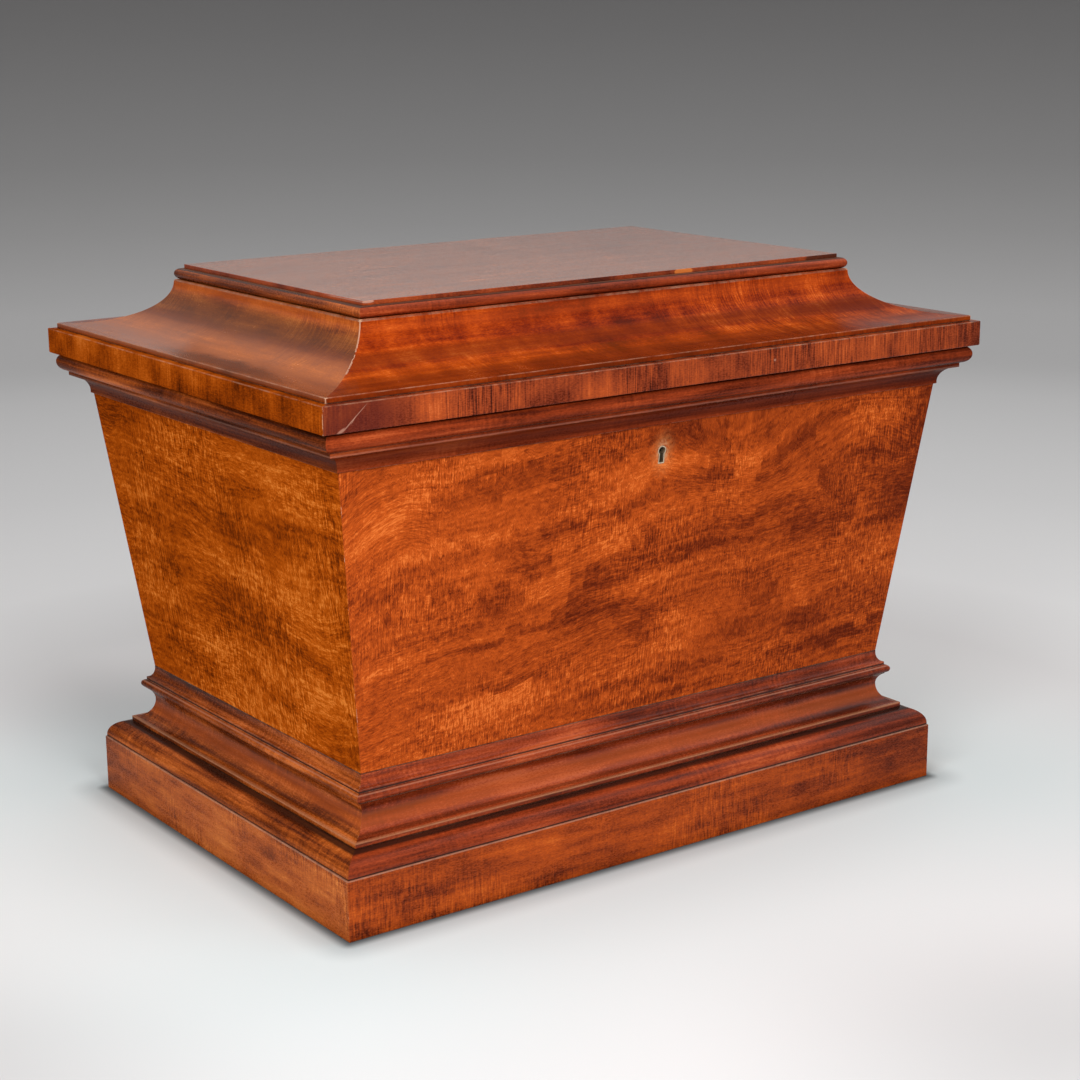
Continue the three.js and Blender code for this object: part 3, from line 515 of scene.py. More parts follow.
KEYHOLE_CUT = (11.8, 25.8)  # from the lock's space out past the wall's face
LOCK_WIDTH, LOCK_HEIGHT, LOCK_PLATE, SELVEDGE_WIDTH = 100, 94, 2.5, 16
CASE_WIDTH, CASE_FOOT, CASE_DEPTH = 80, 88, 15.5
HINGES = (-220, 220)
HINGE_LENGTH, LEAF, LEAF_WIDTH = 64, 2, 34
HINGE_AXIS = 264.79  # from the middle of the chest to the middle of the pins


def box(low, high):
    """A plain block that cuts a seat into another piece."""
    bpy.ops.object.select_all(action="DESELECT")
    middle = [(a + b) / 2 * MM for a, b in zip(low, high)]
    bpy.ops.mesh.primitive_cube_add(size=MM, location=middle, scale=[b - a for a, b in zip(low, high)])
    bpy.ops.object.transform_apply()
    return bpy.context.object


def lean_on_front(piece):
    """Lays a piece against the inner face of the front wall, from its top edge."""
    start(piece)
    piece.rotation_euler = (LEAN, 0, 0)
    piece.location = (0, FRONT_INSIDE * MM, WALL_HEAD * MM)
    bpy.ops.object.transform_apply()
    return piece


def cut_away(piece, *cutters):
    for cutter in cutters:
        make_room(cutter)
        mark(cutter, HIDDEN)
        apply(piece, "BOOLEAN", object=cutter, operation="DIFFERENCE", solver="EXACT")
        bpy.data.objects.remove(cutter)


def keyhole_cutter():
    """A round hole with a slot under it, through the front wall."""
    inner, outer = KEYHOLE_CUT
    bpy.ops.object.select_all(action="DESELECT")
    bpy.ops.mesh.primitive_cylinder_add(
        vertices=40, radius=KEYHOLE * MM, depth=(outer - inner) * MM, rotation=(math.pi / 2, 0, 0),
        location=(0, -(inner + outer) / 2 * MM, -KEYHOLE_DROP * MM),
    )
    bpy.ops.object.transform_apply()
    round_part = bpy.context.object
    foot, head = -KEYHOLE_DROP - KEYHOLE_FOOT, -KEYHOLE_DROP - KEYHOLE_NECK
    slot = box((-KEYHOLE_SLOT, -outer, foot), (KEYHOLE_SLOT, -inner, head))
    apply(round_part, "BOOLEAN", object=slot, operation="UNION", solver="EXACT")
    bpy.data.objects.remove(slot)
    return lean_on_front(round_part)


def lock_seats():
    """Cuts for the lock's plate, its case and its selvedge."""
    plate, case = LOCK_WIDTH / 2 + GAP, CASE_WIDTH / 2 + GAP
    selvedge_front = FRONT_INSIDE - SELVEDGE_WIDTH - GAP
    return (
        lean_on_front(box((-plate, -LOCK_PLATE - GAP, -LOCK_HEIGHT - GAP), (plate, OVERRUN, OVERRUN))),
        lean_on_front(box((-case, -CASE_DEPTH - GAP, -CASE_FOOT - GAP), (case, OVERRUN, OVERRUN))),
        box((-plate, selvedge_front, WALL_HEAD - LOCK_PLATE - GAP),
            (plate, FRONT_INSIDE + OVERRUN, WALL_HEAD + OVERRUN)),
    )


def leaf_seat(x, back, foot, head):
    """A cut for one leaf of a hinge."""
    half = HINGE_LENGTH / 2 + GAP
    return box((x - half, HINGE_AXIS - LEAF_WIDTH - GAP, foot), (x + half, back, head))


def carcass_leaf_seats():
    return [leaf_seat(x, HINGE_AXIS + OVERRUN, WALL_HEAD - LEAF, WALL_HEAD + OVERRUN) for x in HINGES]


def plum_mottle(rise, drop, dark, light, seed, fans, broken, depth):
    """The figure of a wall: rising bands, broken into upright blocks, with patches in their places."""
    block_width, block_height = 17 * MM, 16 * MM

    def figure(finish, along, height):
        plain = finish.at(along, 0, height)
        wander = finish.cloud(plain, (5, 1, 7), 2, 0.5, seed)
        ripple = finish.cloud(plain, (26, 1, 44), 2, 0.6, seed + 1)
        mottled = finish.cloud(plain, (8, 1, 11), 1, 0.5, seed + 4).rising(-0.1, 0.08)
        comb = finish.cloud(plain, (620, 1, 50), 2, 0.6, seed + 2)
        level = height - along * rise + along * along * drop + wander * 0.05 + ripple * 0.006
        for middle, half, slope in fans:
            level = level - finish.patch(plain, middle, half, 0, 0.3) * (along - middle[0] * MM) * slope
        jagged = level + comb * mottled * 0.012
        bands = finish.cloud(finish.at(along, 0, jagged), (2, 1, 22), 3, 0.5, seed + 6)
        stripes = finish.cloud(finish.at(along, 0, level), (3, 1, 210), 2, 0.6, seed + 8)
        row = level.snapped(block_height)
        shifted = along + finish.cloud(finish.at(0, 0, row), (1, 1, 900), 0, 0.5, seed + 10) * 0.06
        column = shifted.snapped(block_width)
        step = finish.cloud(finish.at(column, 0, row), (200, 1, 200), 0, 0.5, seed + 12)
        blocks = finish.cloud(finish.at(column, 0, jagged), (11, 1, 40), 1, 0.5, seed + 11)
        amount = 0.51 + bands * 0.5 + stripes * 0.6 + comb * mottled * 0.25
        amount = amount - blocks.rising(0.06, 0.1) * 0.08 * broken
        amount = amount + blocks.rising(-0.08, -0.12) * 0.05 * broken
        torn_along = column + (along - column) * (1 - broken) + comb * 0.002
        torn_height = height + wander * 0.02 + step * broken * 0.03 + comb * mottled * 0.02
        torn = finish.at(torn_along, 0, torn_height)
        for patches, strength in ((dark, -0.24), (light, 0.2)):
            for middle_x, middle_z, half_x, half_z, turn in patches:
                here = finish.patch(torn, (middle_x, middle_z), (half_x, half_z), turn, 0.45 * broken)
                amount = amount + here * strength * depth
        return amount, finish.at(along, 0, jagged)
    return figure


FRONT_DARK = (  # each patch's middle along the wall, height, half-sizes and turn in degrees
    (-134, 392, 144, 12, 9), (-300, 305, 41, 8, 17), (-244, 291, 18, 13, 0), (-187, 278, 24, 15, 0),
    (-152, 310, 20, 21, 0), (-71, 341, 74, 6, 6), (-88, 265, 18, 37, 0), (-53, 259, 27, 16, 0),
    (-140, 242, 79, 5, 6), (-186, 194, 86, 6, 7), (-21, 309, 15, 13, 0), (56, 362, 26, 8, 22),
    (18, 407, 35, 15, 0), (149, 382, 52, 13, 30), (212, 343, 12, 26, 0), (270, 356, 31, 26, 0),
    (229, 296, 15, 26, 0), (307, 299, 36, 29, 0), (127, 320, 45, 8, 9), (52, 291, 93, 4, 2),
    (182, 294, 28, 23, 0), (238, 165, 88, 7, 2), (27, 165, 114, 6, 1), (-8, 143, 103, 5, 2),
    (134, 234, 36, 16, 0), (-11, 217, 21, 13, 0), (328, 377, 21, 53, 0), (200, 194, 30, 10, 0),
)
FRONT_LIGHT = (
    (-303, 373, 52, 14, 28), (-201, 405, 65, 8, 7), (-229, 338, 69, 6, 9), (-17, 376, 57, 11, 11),
    (-56, 314, 37, 10, 13), (97, 371, 19, 32, 0), (-133, 280, 46, 11, 0), (-148, 178, 29, 15, 0),
    (-211, 175, 35, 19, 0), (32, 207, 36, 19, 0), (184, 219, 18, 16, 0), (301, 244, 35, 23, 0),
    (275, 177, 49, 6, 3), (257, 395, 35, 19, 0), (-285, 234, 46, 5, 10), (-14, 266, 63, 8, 10),
)
FRONT_FANS = (((175, 385), (110, 42), 0.42), ((-350, 350), (70, 90), 0.5))
END_DARK = (
    (116, 271, 35, 19, 0), (166, 301, 63, 12, 0), (153, 204, 65, 14, 0), (-28, 242, 87, 26, 0),
    (-129, 345, 37, 19, -15), (-216, 311, 11, 100, 0), (-66, 372, 40, 10, -10), (-29, 326, 30, 19, 0),
    (188, 404, 63, 11, 0), (70, 159, 12, 6, 0), (-138, 232, 49, 10, 6), (-70, 176, 52, 8, 8),
    (116, 175, 55, 8, 9), (52, 336, 27, 6, 0), (-174, 162, 42, 26, 0),
)
END_LIGHT = (
    (91, 398, 63, 23, 0), (-132, 364, 66, 8, -6), (3, 294, 36, 16, 0), (167, 232, 52, 19, 0),
    (-136, 286, 27, 45, 0), (66, 252, 35, 13, 0), (-152, 192, 34, 13, 0), (-16, 147, 127, 10, 0),
    (155, 326, 15, 13, 0), (199, 324, 12, 10, 0), (-118, 400, 82, 19, 0), (-65, 281, 41, 13, 0),
    (55, 190, 34, 10, 0),
)
WALL_TONES = {
    "x": ((92, 30, 10), (126, 47, 15), (163, 67, 20), (194, 84, 26), (226, 117, 50)),
    "y": ((98, 38, 6), (138, 57, 8), (170, 75, 10), (198, 96, 22), (228, 130, 50)),
}


def key_wear(finish, colour):
    """The polish is rubbed away round the keyhole: brown wood in a broad ring, and paler wood close by."""
    face = finish.at(finish.x, 0, finish.z)
    rubbed = finish.cloud(face, (240, 1, 240), 3, 0.6).rising(-0.2, 0.1)
    for middle, half, soft, strength, shade in (
        ((1, 392), (11, 17), 0.3, 0.5, (214, 132, 74)), ((0.5, 393), (6.6, 11), 0.7, 0.6, (196, 150, 112)),
    ):
        worn = finish.patch(face, middle, half, 0, soft) * rubbed * strength
        colour = finish.mix(worn, colour, tone(*shade))
    return colour


walls = carry_round([
    (WALL_FOOT_REACH - WALL, WALL_FOOT), (WALL_FOOT_REACH, WALL_FOOT), (WALL_HEAD_REACH, WALL_HEAD),
    (WALL_HEAD_REACH - WALL, WALL_HEAD),
])
ease(walls, arris=0.4, corner=0.7, hidden=lambda face: inward(face) or abs(face.normal.z) > LEVEL)
walls = part_at_mitres(walls, "wall")
cut_away(walls["front"], keyhole_cutter(), *lock_seats())
cut_away(walls["back"], *carcass_leaf_seats())
for number, (side, run) in enumerate(RUNS.items()):
    if run == "x":
        slot, dark, light = "front_veneer", FRONT_DARK, FRONT_LIGHT
        rise, drop, sheen, painted_falloff = 0.09, 0.13, 0.02, 0.3
    else:
        slot, dark, light = "end_veneer", END_DARK, END_LIGHT
        rise, drop, sheen, painted_falloff = 0.0, 0.0, 0.0, 0.45
    if side in ("back", "right"):
        dark, light = dark[::2], light[::2]
    fans, broken, depth = (FRONT_FANS, 1, 1.0) if side == "front" else ((), 0.4, 0.85)
    way = {
        "fibre": (110, 520), "fibres": 0.3, "blots": (60, 130), "blotting": 0.12, "ticks": (640, 90),
        "ticking": 0.45, "drift": 0.08, "sheen": sheen, "gloss": 0.3, "painted_falloff": painted_falloff,
        "seed": SEED_STEP * number,
        "figure": plum_mottle(rise, drop, dark, light, FIGURE_STEP * number, fans, broken, depth),
    }
    after = key_wear if side == "front" else None
    face = mahogany(f"wall_{side}", run, WALL_TONES[run], after=after, **way)
    arris = mahogany(f"wall_arris_{side}", run, WALL_TONES[run], bare_arris=-0.2, bare_mitre=0.22, **way)
    fit(walls[side], f"carcass_{side}", "carcass", slot, face, arris, softwood[run])

# Bottom board: one wide softwood board, its grain along the chest, let down between the walls onto the
# ledge of the base mouldings. Nothing of it is polished.
for place in nodes["bottom_board"].material_slots:
    place.material = softwood["x"]

# Cornice: small lip, hollow, fillet and half-round torus in solid mahogany, mitred and glued round the top
# of the walls. Its back is cut out for the hinges. Painted shade lies above the torus, under it and across
# the hollow, with a painted highlight on the step under the torus.
CORNICE_FOOT = 420.3
WALL_REACH_THERE = 349.693  # the wall's face at the cornice's foot
CORNICE_LIP, CORNICE_HOLLOW, CORNICE_STEP = 2.2, 15, 0.5
TORUS = 9
hollow_reach = WALL_REACH_THERE + CORNICE_LIP + CORNICE_HOLLOW
hollow_head = CORNICE_FOOT + CORNICE_LIP + CORNICE_HOLLOW
torus_reach = hollow_reach + CORNICE_STEP
cornice = carry_round([
    (WALL_REACH_THERE + GAP, CORNICE_FOOT), (WALL_REACH_THERE + CORNICE_LIP, CORNICE_FOOT),
    *bend((hollow_reach, hollow_head - CORNICE_HOLLOW), (CORNICE_HOLLOW, CORNICE_HOLLOW), 180, 90),
    (torus_reach, hollow_head), *bend((torus_reach, WALL_HEAD - TORUS), (TORUS, TORUS), -90, 90, 24),
    (WALL_HEAD_REACH + GAP, WALL_HEAD),
])
ease(cornice, arris=0.3, corner=0.6, hidden=lambda face: inward(face) or face.normal.z > 0.99)
cornice_finishes = finishes(
    "cornice", MOULDING_TONES, fibre=(6, 260), fibres=0.4, blots=(8, 50), ticks=(240, 40), ticking=0.15,
    sheen=0.12, gloss=0.3, bare_arris=0.24, left={"sheen": 0.02}, front={"sheen": 0.04},
    # Painted shade across the hollow and along the torus's head and foot; a painted highlight on the step
    # under it.
    lines=(
        (hollow_head - 7.5, 12, 0.6, (74, 18, 0)), (WALL_HEAD - 1.4, 1.6, 0.8, (30, 12, 8)),
        (hollow_head + 4.8, 0.9, 0.9, (40, 18, 12)), (hollow_head + 1.1, 0.9, 0.2, (178, 140, 124)),
    ),
)
cornice = part_at_mitres(cornice, "cornice")
cut_away(cornice["back"], *carcass_leaf_seats())
hang(cornice, "cornice", "carcass", "moulding_wood", cornice_finishes)

# Liner: sheet zinc soldered into a tapered tray, its rim rolled inwards, dropped in between the walls. It
# has dulled to a mottled grey.
zinc = Finish("dull_zinc", Metallic=0.9)
bloom = zinc.cloud(zinc.place, (16, 16, 16), 4, 0.6)
spangle = zinc.add("ShaderNodeTexVoronoi", {}, {"Vector": zinc.place, "Scale": 90}, "Color")
tarnish = zinc.ramp(bloom * 2 + 0.5, (0.1, tone(112, 114, 116)), (0.9, tone(168, 172, 175)))
zinc.give(Base_Color=zinc.mix(0.08, tarnish, spangle, "OVERLAY"), Roughness=0.5 + 0.4 * bloom)
nodes["liner"].material_slots[0].material = zinc.material

# Bottle crate: two long and four cross boards of thin mahogany, half-lapped where they cross and stood in
# the liner. They were never polished, and damp bottles have stained them.
for name, run in (("divider_long", "x"), ("divider_cross", "y")):
    board = Finish(f"{name}_wood", Specular_IOR_Level=0.3)
    along, across = (board.x, board.y) if run == "x" else (board.y, board.x)
    place = board.at(along, across, board.z)
    fibre = board.cloud(place, (5, 120), 4, 0.6)
    damp = board.cloud(place, (20, 20, 14), 3).rising(-0.05, 0.12)
    colour = board.ramp(fibre * 1.8 + 0.5, (0.1, tone(98, 58, 34)), (0.9, tone(146, 94, 58)))
    colour = board.mix(damp * 0.5, colour, tone(70, 42, 28))
    board.give(Base_Color=colour, Roughness=0.6 + 0.3 * fibre, Normal=board.bump(fibre, 0.2 * MM))
    for node_name, node in nodes.items():
        if node_name.startswith(name):
            node.material_slots[0].material = board.material

# Lock: a brass plate with its selvedge let in flush inside the front wall, four screws, a sheet iron cap,
# an iron bolt with two fingers and a drill pin. The keyhole's lining is thin brass, rubbed pale.
LOCK_SCREW = 3.2  # each screw is given by the radius of its head
LOCK_SCREWS = ((-44.5, 14), (44.5, 14), (-44.5, 84), (44.5, 84))  # across the plate, and down it
SCREW_DEPTH, SCREW_EDGE, SCREW_DISH = 0.8, 0.12, 0.06
SLOT_HALF, SLOT_DEPTH = 0.35, 0.5


def metal(name, dark, light, roughness):
    finish = Finish(name, Metallic=1)
    patina = finish.cloud(finish.place, (45, 45, 45), 4, 0.65)
    scratch = finish.cloud(finish.place, (900, 60), 2)
    colour = finish.ramp(patina * 2 + 0.5, (0.15, tone(*dark)), (0.85, tone(*light)))
    rough = roughness + 0.4 * patina + 0.1 * scratch
    return finish.give(Base_Color=colour, Roughness=rough, Normal=finish.bump(scratch + patina, 0.05 * MM))


def screw(radius):
    """A slotted countersunk screw head, lying face up at the origin."""
    bpy.ops.object.select_all(action="DESELECT")
    bpy.ops.mesh.primitive_cylinder_add(
        vertices=24, radius=radius * MM, depth=SCREW_DEPTH * MM, location=(0, 0, -SCREW_DEPTH / 2 * MM),
    )
    bpy.ops.object.transform_apply()
    head = bpy.context.object
    pick(head, "polygons", lambda face: face.normal.z > LEVEL)
    bpy.ops.mesh.inset(thickness=SCREW_EDGE * MM, depth=SCREW_DISH * MM)
    for edge in (-SLOT_HALF, SLOT_HALF):
        bpy.ops.mesh.select_all(action="SELECT")
        bpy.ops.mesh.bisect(plane_co=(0, edge * MM, 0), plane_no=(0, 1, 0))
    shut()

    def in_slot(face):
        return face.normal.z > LEVEL and abs(face.center.y) < SLOT_HALF * MM and face.center.z > 0

    pick(head, "polygons", in_slot)
    bpy.ops.mesh.extrude_region_move(TRANSFORM_OT_translate={"value": (0, 0, -SLOT_DEPTH * MM)})
    shut()
    return head


def drive(pattern, name, place, facing, turn, body, finish):
    """Copies a screw to its hole. Facing is the way that its head looks, and turn is that of its slot."""
    driven = bpy.data.objects.new(name, pattern.data.copy())
    bpy.context.collection.objects.link(driven)
    start(driven)
    looking = Vector(facing).to_track_quat("Z", "Y").to_matrix().to_4x4()
    driven.matrix_world = Matrix.Translation(Vector(place) * MM) @ looking @ Matrix.Rotation(turn, 4, "Z")
    bpy.ops.object.transform_apply()
    fit(driven, None, body, "steel", finish)


brass = metal("aged_brass", (120, 88, 42), (188, 150, 84), 0.36)
iron = metal("oiled_iron", (78, 76, 74), (132, 131, 130), 0.42)
bright_iron = metal("bright_iron", (170, 170, 172), (222, 222, 224), 0.35)
rubbed_brass = metal("rubbed_brass", (214, 180, 146), (244, 226, 200), 0.45)
for name, finish in (
    ("lock_plate", brass), ("lock_cap", iron), ("lock_bolt", iron), ("lock_drill_pin", bright_iron),
    ("keyhole_lining", rubbed_brass),
):
    nodes[name].material_slots[0].material = finish
lock_screw = screw(LOCK_SCREW)
for number, (x, drop) in enumerate(LOCK_SCREWS):
    place = (x, FRONT_INSIDE + drop * math.sin(LEAN), WALL_HEAD - drop * math.cos(LEAN))
    facing = (0, math.cos(LEAN), math.sin(LEAN))
    drive(lock_screw, f"lock_screw_{number + 1}", place, facing, 0.7 * number + 0.4, "carcass", iron)

# Lid rails: deep softwood rails cross-banded with upright veneer and mitred, their lower arris rounded.
# The back one is cut out for the hinges and the front one for the link plate. The near corner has cracked.
RAIL_REACH, RAIL_WIDTH, RAIL_HEAD = 381.1, 52, 484.6
RAIL_ROUND = 1.5
LINK_LENGTH, LINK_PLATE = 66, 2.4
LINK_SEAT = (-235.91, -221.31)  # from its front to its back
KNUCKLE = 3
RAIL_TONES = {
    "x": ((58, 19, 10), (104, 38, 18), (144, 60, 28), (172, 74, 30), (198, 98, 48)),
    "y": ((66, 24, 4), (112, 44, 6), (150, 64, 8), (180, 84, 16), (206, 110, 38)),
}


def crack(finish, colour):
    """A crack at the near end of the front rail, with a chip at its foot, and a fleck of filler."""
    face = finish.at(finish.x, 0, finish.z)
    colour = finish.mix(finish.patch(face, (-350, 472), (44, 26), 0, 0.5) * 0.75, colour, tone(84, 28, 22))
    for middle, half, turn in (
        ((-346.5, 475.8), (9.5, 0.3), 41), ((-356.5, 467), (6.5, 0.5), 43), ((-364.2, 462), (4.4, 1.3), 30),
        ((106.6, 473), (1.3, 1.1), 0), ((-352, 470.4), (4, 0.35), 52),
    ):
        colour = finish.mix(finish.patch(face, middle, half, turn, 0.5) * 0.5, colour, tone(196, 146, 124))
    return colour


rails = carry_round([
    (RAIL_REACH - RAIL_WIDTH, WALL_HEAD),
    *bend((RAIL_REACH - RAIL_ROUND, WALL_HEAD + RAIL_ROUND), (RAIL_ROUND, RAIL_ROUND), -90, 0, 5),
    (RAIL_REACH, RAIL_HEAD), (RAIL_REACH - RAIL_WIDTH, RAIL_HEAD),
])
ease(rails, arris=0.6, corner=0.9, hidden=under)
rail_finishes = finishes(
    "rail", RAIL_TONES, back=softwood, fibre=(380, 14), fibres=0.17, blots=(26, 24), blotting=0.32,
    ticks=(700, 30), ticking=0.4, drift=0.2, sheen=0.1, gloss=0.3, bare_arris=0.3, bare_mitre=0.35,
    front={"after": crack},
    left={"sheen": 0.0, "fibres": 0.14, "ticking": 0.2, "blots": (20, 20), "blotting": 0.4},
)
rails = part_at_mitres(rails, "lid_rail")
link_half = LINK_LENGTH / 2 + GAP
cut_away(rails["front"], box(
    (-link_half, LINK_SEAT[0], WALL_HEAD - OVERRUN), (link_half, LINK_SEAT[1], WALL_HEAD + LINK_PLATE),
))
knuckle_half, knuckle_front = HINGE_LENGTH / 2 + GAP + 1, HINGE_AXIS - KNUCKLE - 2 * GAP
for x in HINGES:
    cut_away(
        rails["back"], leaf_seat(x, HINGE_AXIS, WALL_HEAD - OVERRUN, WALL_HEAD + LEAF),
        box((x - knuckle_half, knuckle_front, WALL_HEAD - OVERRUN),
            (x + knuckle_half, RAIL_REACH - DEPTH_STEP + OVERRUN, WALL_HEAD + KNUCKLE + GAP)),
    )
hang(rails, "lid_rail", "lid", "band_veneer", rail_finishes)

# Coved slopes: built-up softwood hollows under mahogany veneer, mitred up the corners, where the polish
# has worn through to a pale line. The veneer's figure has upright ticks over level streaks.
COVE_REACH, COVE_FILLET_HEAD = 374, 490
COVE_FLAT, COVE_RUN, COVE_RISE, COVE_NECK = 2.2, 85, 44.6, 1.2
COVE_FOOT_INSIDE, COVE_HEAD_INSIDE = 300, 262
COVE_HEAD = 535.8
COVE_CHEEK = 24  # the upright inner face
COVE_TONES = {
    "x": ((84, 20, 2), (118, 32, 4), (150, 50, 6), (182, 70, 12), (214, 102, 34)),
    "y": ((84, 30, 6), (118, 48, 8), (152, 70, 14), (182, 92, 24), (208, 118, 46)),
}


def paint_slope_light_and_spots(finish, colour, along, wander, *patches):
    """Lays broad soft patches of another tone on a slope, by their place along it and their height: bands of
    painted light and shade, and dark spots.
    """
    face = finish.at(along, 0, finish.z + 0.006 * finish.cloud(finish.place, wander, 3, 0.6))
    for middle, half, strength, shade in patches:
        colour = finish.mix(finish.patch(face, middle, half, 0, 0.4) * strength, colour, tone(*shade))
    return colour


def front_slope(finish, colour):
    """The front slope has a painted highlight at its head, and a dark spot near its right end."""
    return paint_slope_light_and_spots(
        finish, colour, finish.x, (12, 30, 60),
        ((0, 528), (400, 6), 0.2, (206, 92, 44)), ((262, 503), (75, 5), 0.6, (100, 28, 4)),
    )


def left_slope(finish, colour):
    """The left slope has painted light in bands: an orange highlight at its head, olive shade across its
    middle and a paler sheen low down. It has a dark spot near its foot.
    """
    colour = paint_slope_light_and_spots(
        finish, colour, finish.y, (30, 12, 60), ((0, 496), (330, 8), 0.34, (204, 120, 66)),
        ((0, 514), (330, 10), 0.66, (92, 46, 2)), ((0, 531), (330, 5), 0.4, (208, 98, 36)),
    )
    flat = finish.at(finish.y, 0, finish.x + 0.024 * finish.cloud(finish.place, (22, 22, 22), 2, 0.5))
    return finish.mix(finish.patch(flat, (-60, -363), (105, 12), 0, 0.5) * 0.75, colour, tone(84, 38, 14))


cove_middle = (COVE_REACH - COVE_FLAT, COVE_FILLET_HEAD + COVE_RISE)
coves = carry_round([
    (COVE_FOOT_INSIDE, RAIL_HEAD), (COVE_REACH, RAIL_HEAD), (COVE_REACH, COVE_FILLET_HEAD),
    *bend(cove_middle, (COVE_RUN, COVE_RISE), -90, -180, 40),
    (cove_middle[0] - COVE_RUN - COVE_NECK, COVE_HEAD),
    (COVE_HEAD_INSIDE, COVE_HEAD), (COVE_HEAD_INSIDE, COVE_HEAD - COVE_CHEEK),
])
ease(coves, arris=0.4, corner=0.8, hidden=lambda face: inward(face) or face.normal.z < -0.3)
cove_finishes = finishes(
    "cove", COVE_TONES, fibre=(9, 130), fibres=0.35, blots=(24, 34), blotting=0.35, ticks=(620, 60),
    ticking=0.35, drift=0.2, gloss=0.2, bare_arris=0.3, bare_mitre=0.4,
    front={
        "sheen": 0.03, "fibres": 0.25, "painted_falloff": 0.05, "blots": (36, 22), "blotting": 0.36,
        "after": front_slope,
    },
    left={"sheen": 0.14, "fibres": 0.24, "blots": (18, 36), "blotting": 0.34, "after": left_slope},
    # Painted light by height: shade across the middle and low on the slope, a highlight between them, and
    # shade at the foot and the head where the slope meets the rail and the half-round.
    lines=(
        (504, 7, 0.6, (112, 38, 4)), (495, 4, 0.15, (184, 88, 14)), (489, 6, 0.6, (112, 44, 12)),
        (RAIL_HEAD + 0.4, 1.2, 0.8, (44, 18, 10)), (COVE_HEAD - 0.9, 1.0, 0.5, (50, 24, 16)),
    ),
)
hang(part_at_mitres(coves, "lid_cove"), "lid_cove", "lid", "cove_veneer", cove_finishes)

# Half-round moulding: four lengths of solid mahogany, mitred and glued round the tongue of the top, so
# that the board's edge shows above them. They are painted dark along their head and foot, as painted shade.
HALF_ROUND = 5.25
TONGUE_REACH, HALF_ROUND_REACH = 270, 281.15
HALF_ROUND_HEAD = COVE_HEAD + 2 * HALF_ROUND
half_round = carry_round([
    (TONGUE_REACH, COVE_HEAD),
    *bend((HALF_ROUND_REACH, COVE_HEAD + HALF_ROUND), (HALF_ROUND, HALF_ROUND), -90, 90, 18),
    (TONGUE_REACH, HALF_ROUND_HEAD),
])
ease(half_round, arris=0.2, corner=0.5, hidden=lambda face: inward(face) or abs(face.normal.z) > 0.99)
half_round_finishes = finishes(
    "half_round", MOULDING_TONES, fibre=(7, 240), fibres=0.4, blots=(8, 50), sheen=0.16, gloss=0.3,
    # Painted shade under the top's edge and above the slope.
    lines=((COVE_HEAD + 0.5, 1.0, 0.8, (36, 16, 10)), (HALF_ROUND_HEAD - 0.3, 0.9, 0.8, (36, 16, 10))),
)
hang(part_at_mitres(half_round, "lid_torus"), "lid_torus", "lid", "moulding_wood", half_round_finishes)

# Top: one flat veneered board with a tongue under it inside the half-round moulding. Its square edge shows
# as a fillet that is chipped at the near corner and has a paler patch let in.
TOP_REACH, TOP_EDGE = 278.7, 4
TOP_ROUND = 0.5
TOP_TONES = ((104, 48, 20), (130, 65, 30), (155, 82, 41), (176, 98, 54), (198, 116, 70))


def repairs(finish, colour):
    """The fillet's repairs and damage: a paler piece let in, a dark stain and a chipped corner."""
    face = finish.at(finish.x, 0, finish.z)
    for middle, half, shade in (
        ((79.5, 548), (11, 4), (214, 120, 52)), ((258, 548), (22, 5), (60, 26, 14)),
        ((-273, 549.4), (6, 1.2), (196, 150, 132)),
    ):
        near = finish.patch(face, middle, half, 0, 0.9) * (0 - finish.y).rising(0.1, 0.12)
        colour = finish.mix(near * 0.8, colour, tone(*shade))
    return colour


tongue = (TONGUE_REACH, TONGUE_REACH - DEPTH_STEP)
spread = (TOP_REACH / tongue[0], (TOP_REACH - DEPTH_STEP) / tongue[1], 1)
top = box((-tongue[0], -tongue[1], COVE_HEAD), (tongue[0], tongue[1], HALF_ROUND_HEAD))
pick(top, "polygons", lambda face: face.normal.z > LEVEL)
bpy.ops.mesh.extrude_region_move(TRANSFORM_OT_translate={"value": (0, 0, 0)})
bpy.ops.transform.resize(value=spread, center_override=(0, 0, HALF_ROUND_HEAD * MM))
bpy.ops.mesh.extrude_region_move(TRANSFORM_OT_translate={"value": (0, 0, TOP_EDGE * MM)})
shut()
top.name = "top_board"
top_finish = mahogany(
    "top_face", "x", TOP_TONES, fibre=(6, 200), fibres=0.3, blots=(30, 60), blotting=0.15, ticks=(300, 300),
    ticking=0.5, drift=0.1, sheen=0.92, gloss=0.14,
)
edge_finish = mahogany(
    "top_edge", "x", RAIL_TONES["x"], fibre=(9, 9), fibres=0.2, blots=(20, 26), blotting=0.25,
    ticks=(300, 40), sheen=0.16, after=repairs,
)
make_room(top)
mark(top, ARRIS, lambda face: abs(face.normal.z) < LEVEL)
mark(top, HIDDEN, lambda face: face.normal.z < -LEVEL)
apply(top, "BEVEL", width=TOP_ROUND * MM, segments=3, material=ARRIS)
fit(top, "lid_top", "lid", "top_veneer", top_finish, edge_finish, rough_mahogany["x"])

# Link plate: a brass plate with two eyes hanging down, let flush into the underside of the front rail and
# held by two screws. The bolt's fingers slide into the eyes.
LINK_SCREW = 2.8
LINK_SCREWS = ((-27, -228.6), (27, -228.6))
nodes["link_plate"].material_slots[0].material = brass
link_screw = screw(LINK_SCREW)
for number, place in enumerate(LINK_SCREWS):
    name = f"link_screw_{number + 1}"
    drive(link_screw, name, (*place, WALL_HEAD), (0, 0, -1), 0.5 + number, "lid", iron)

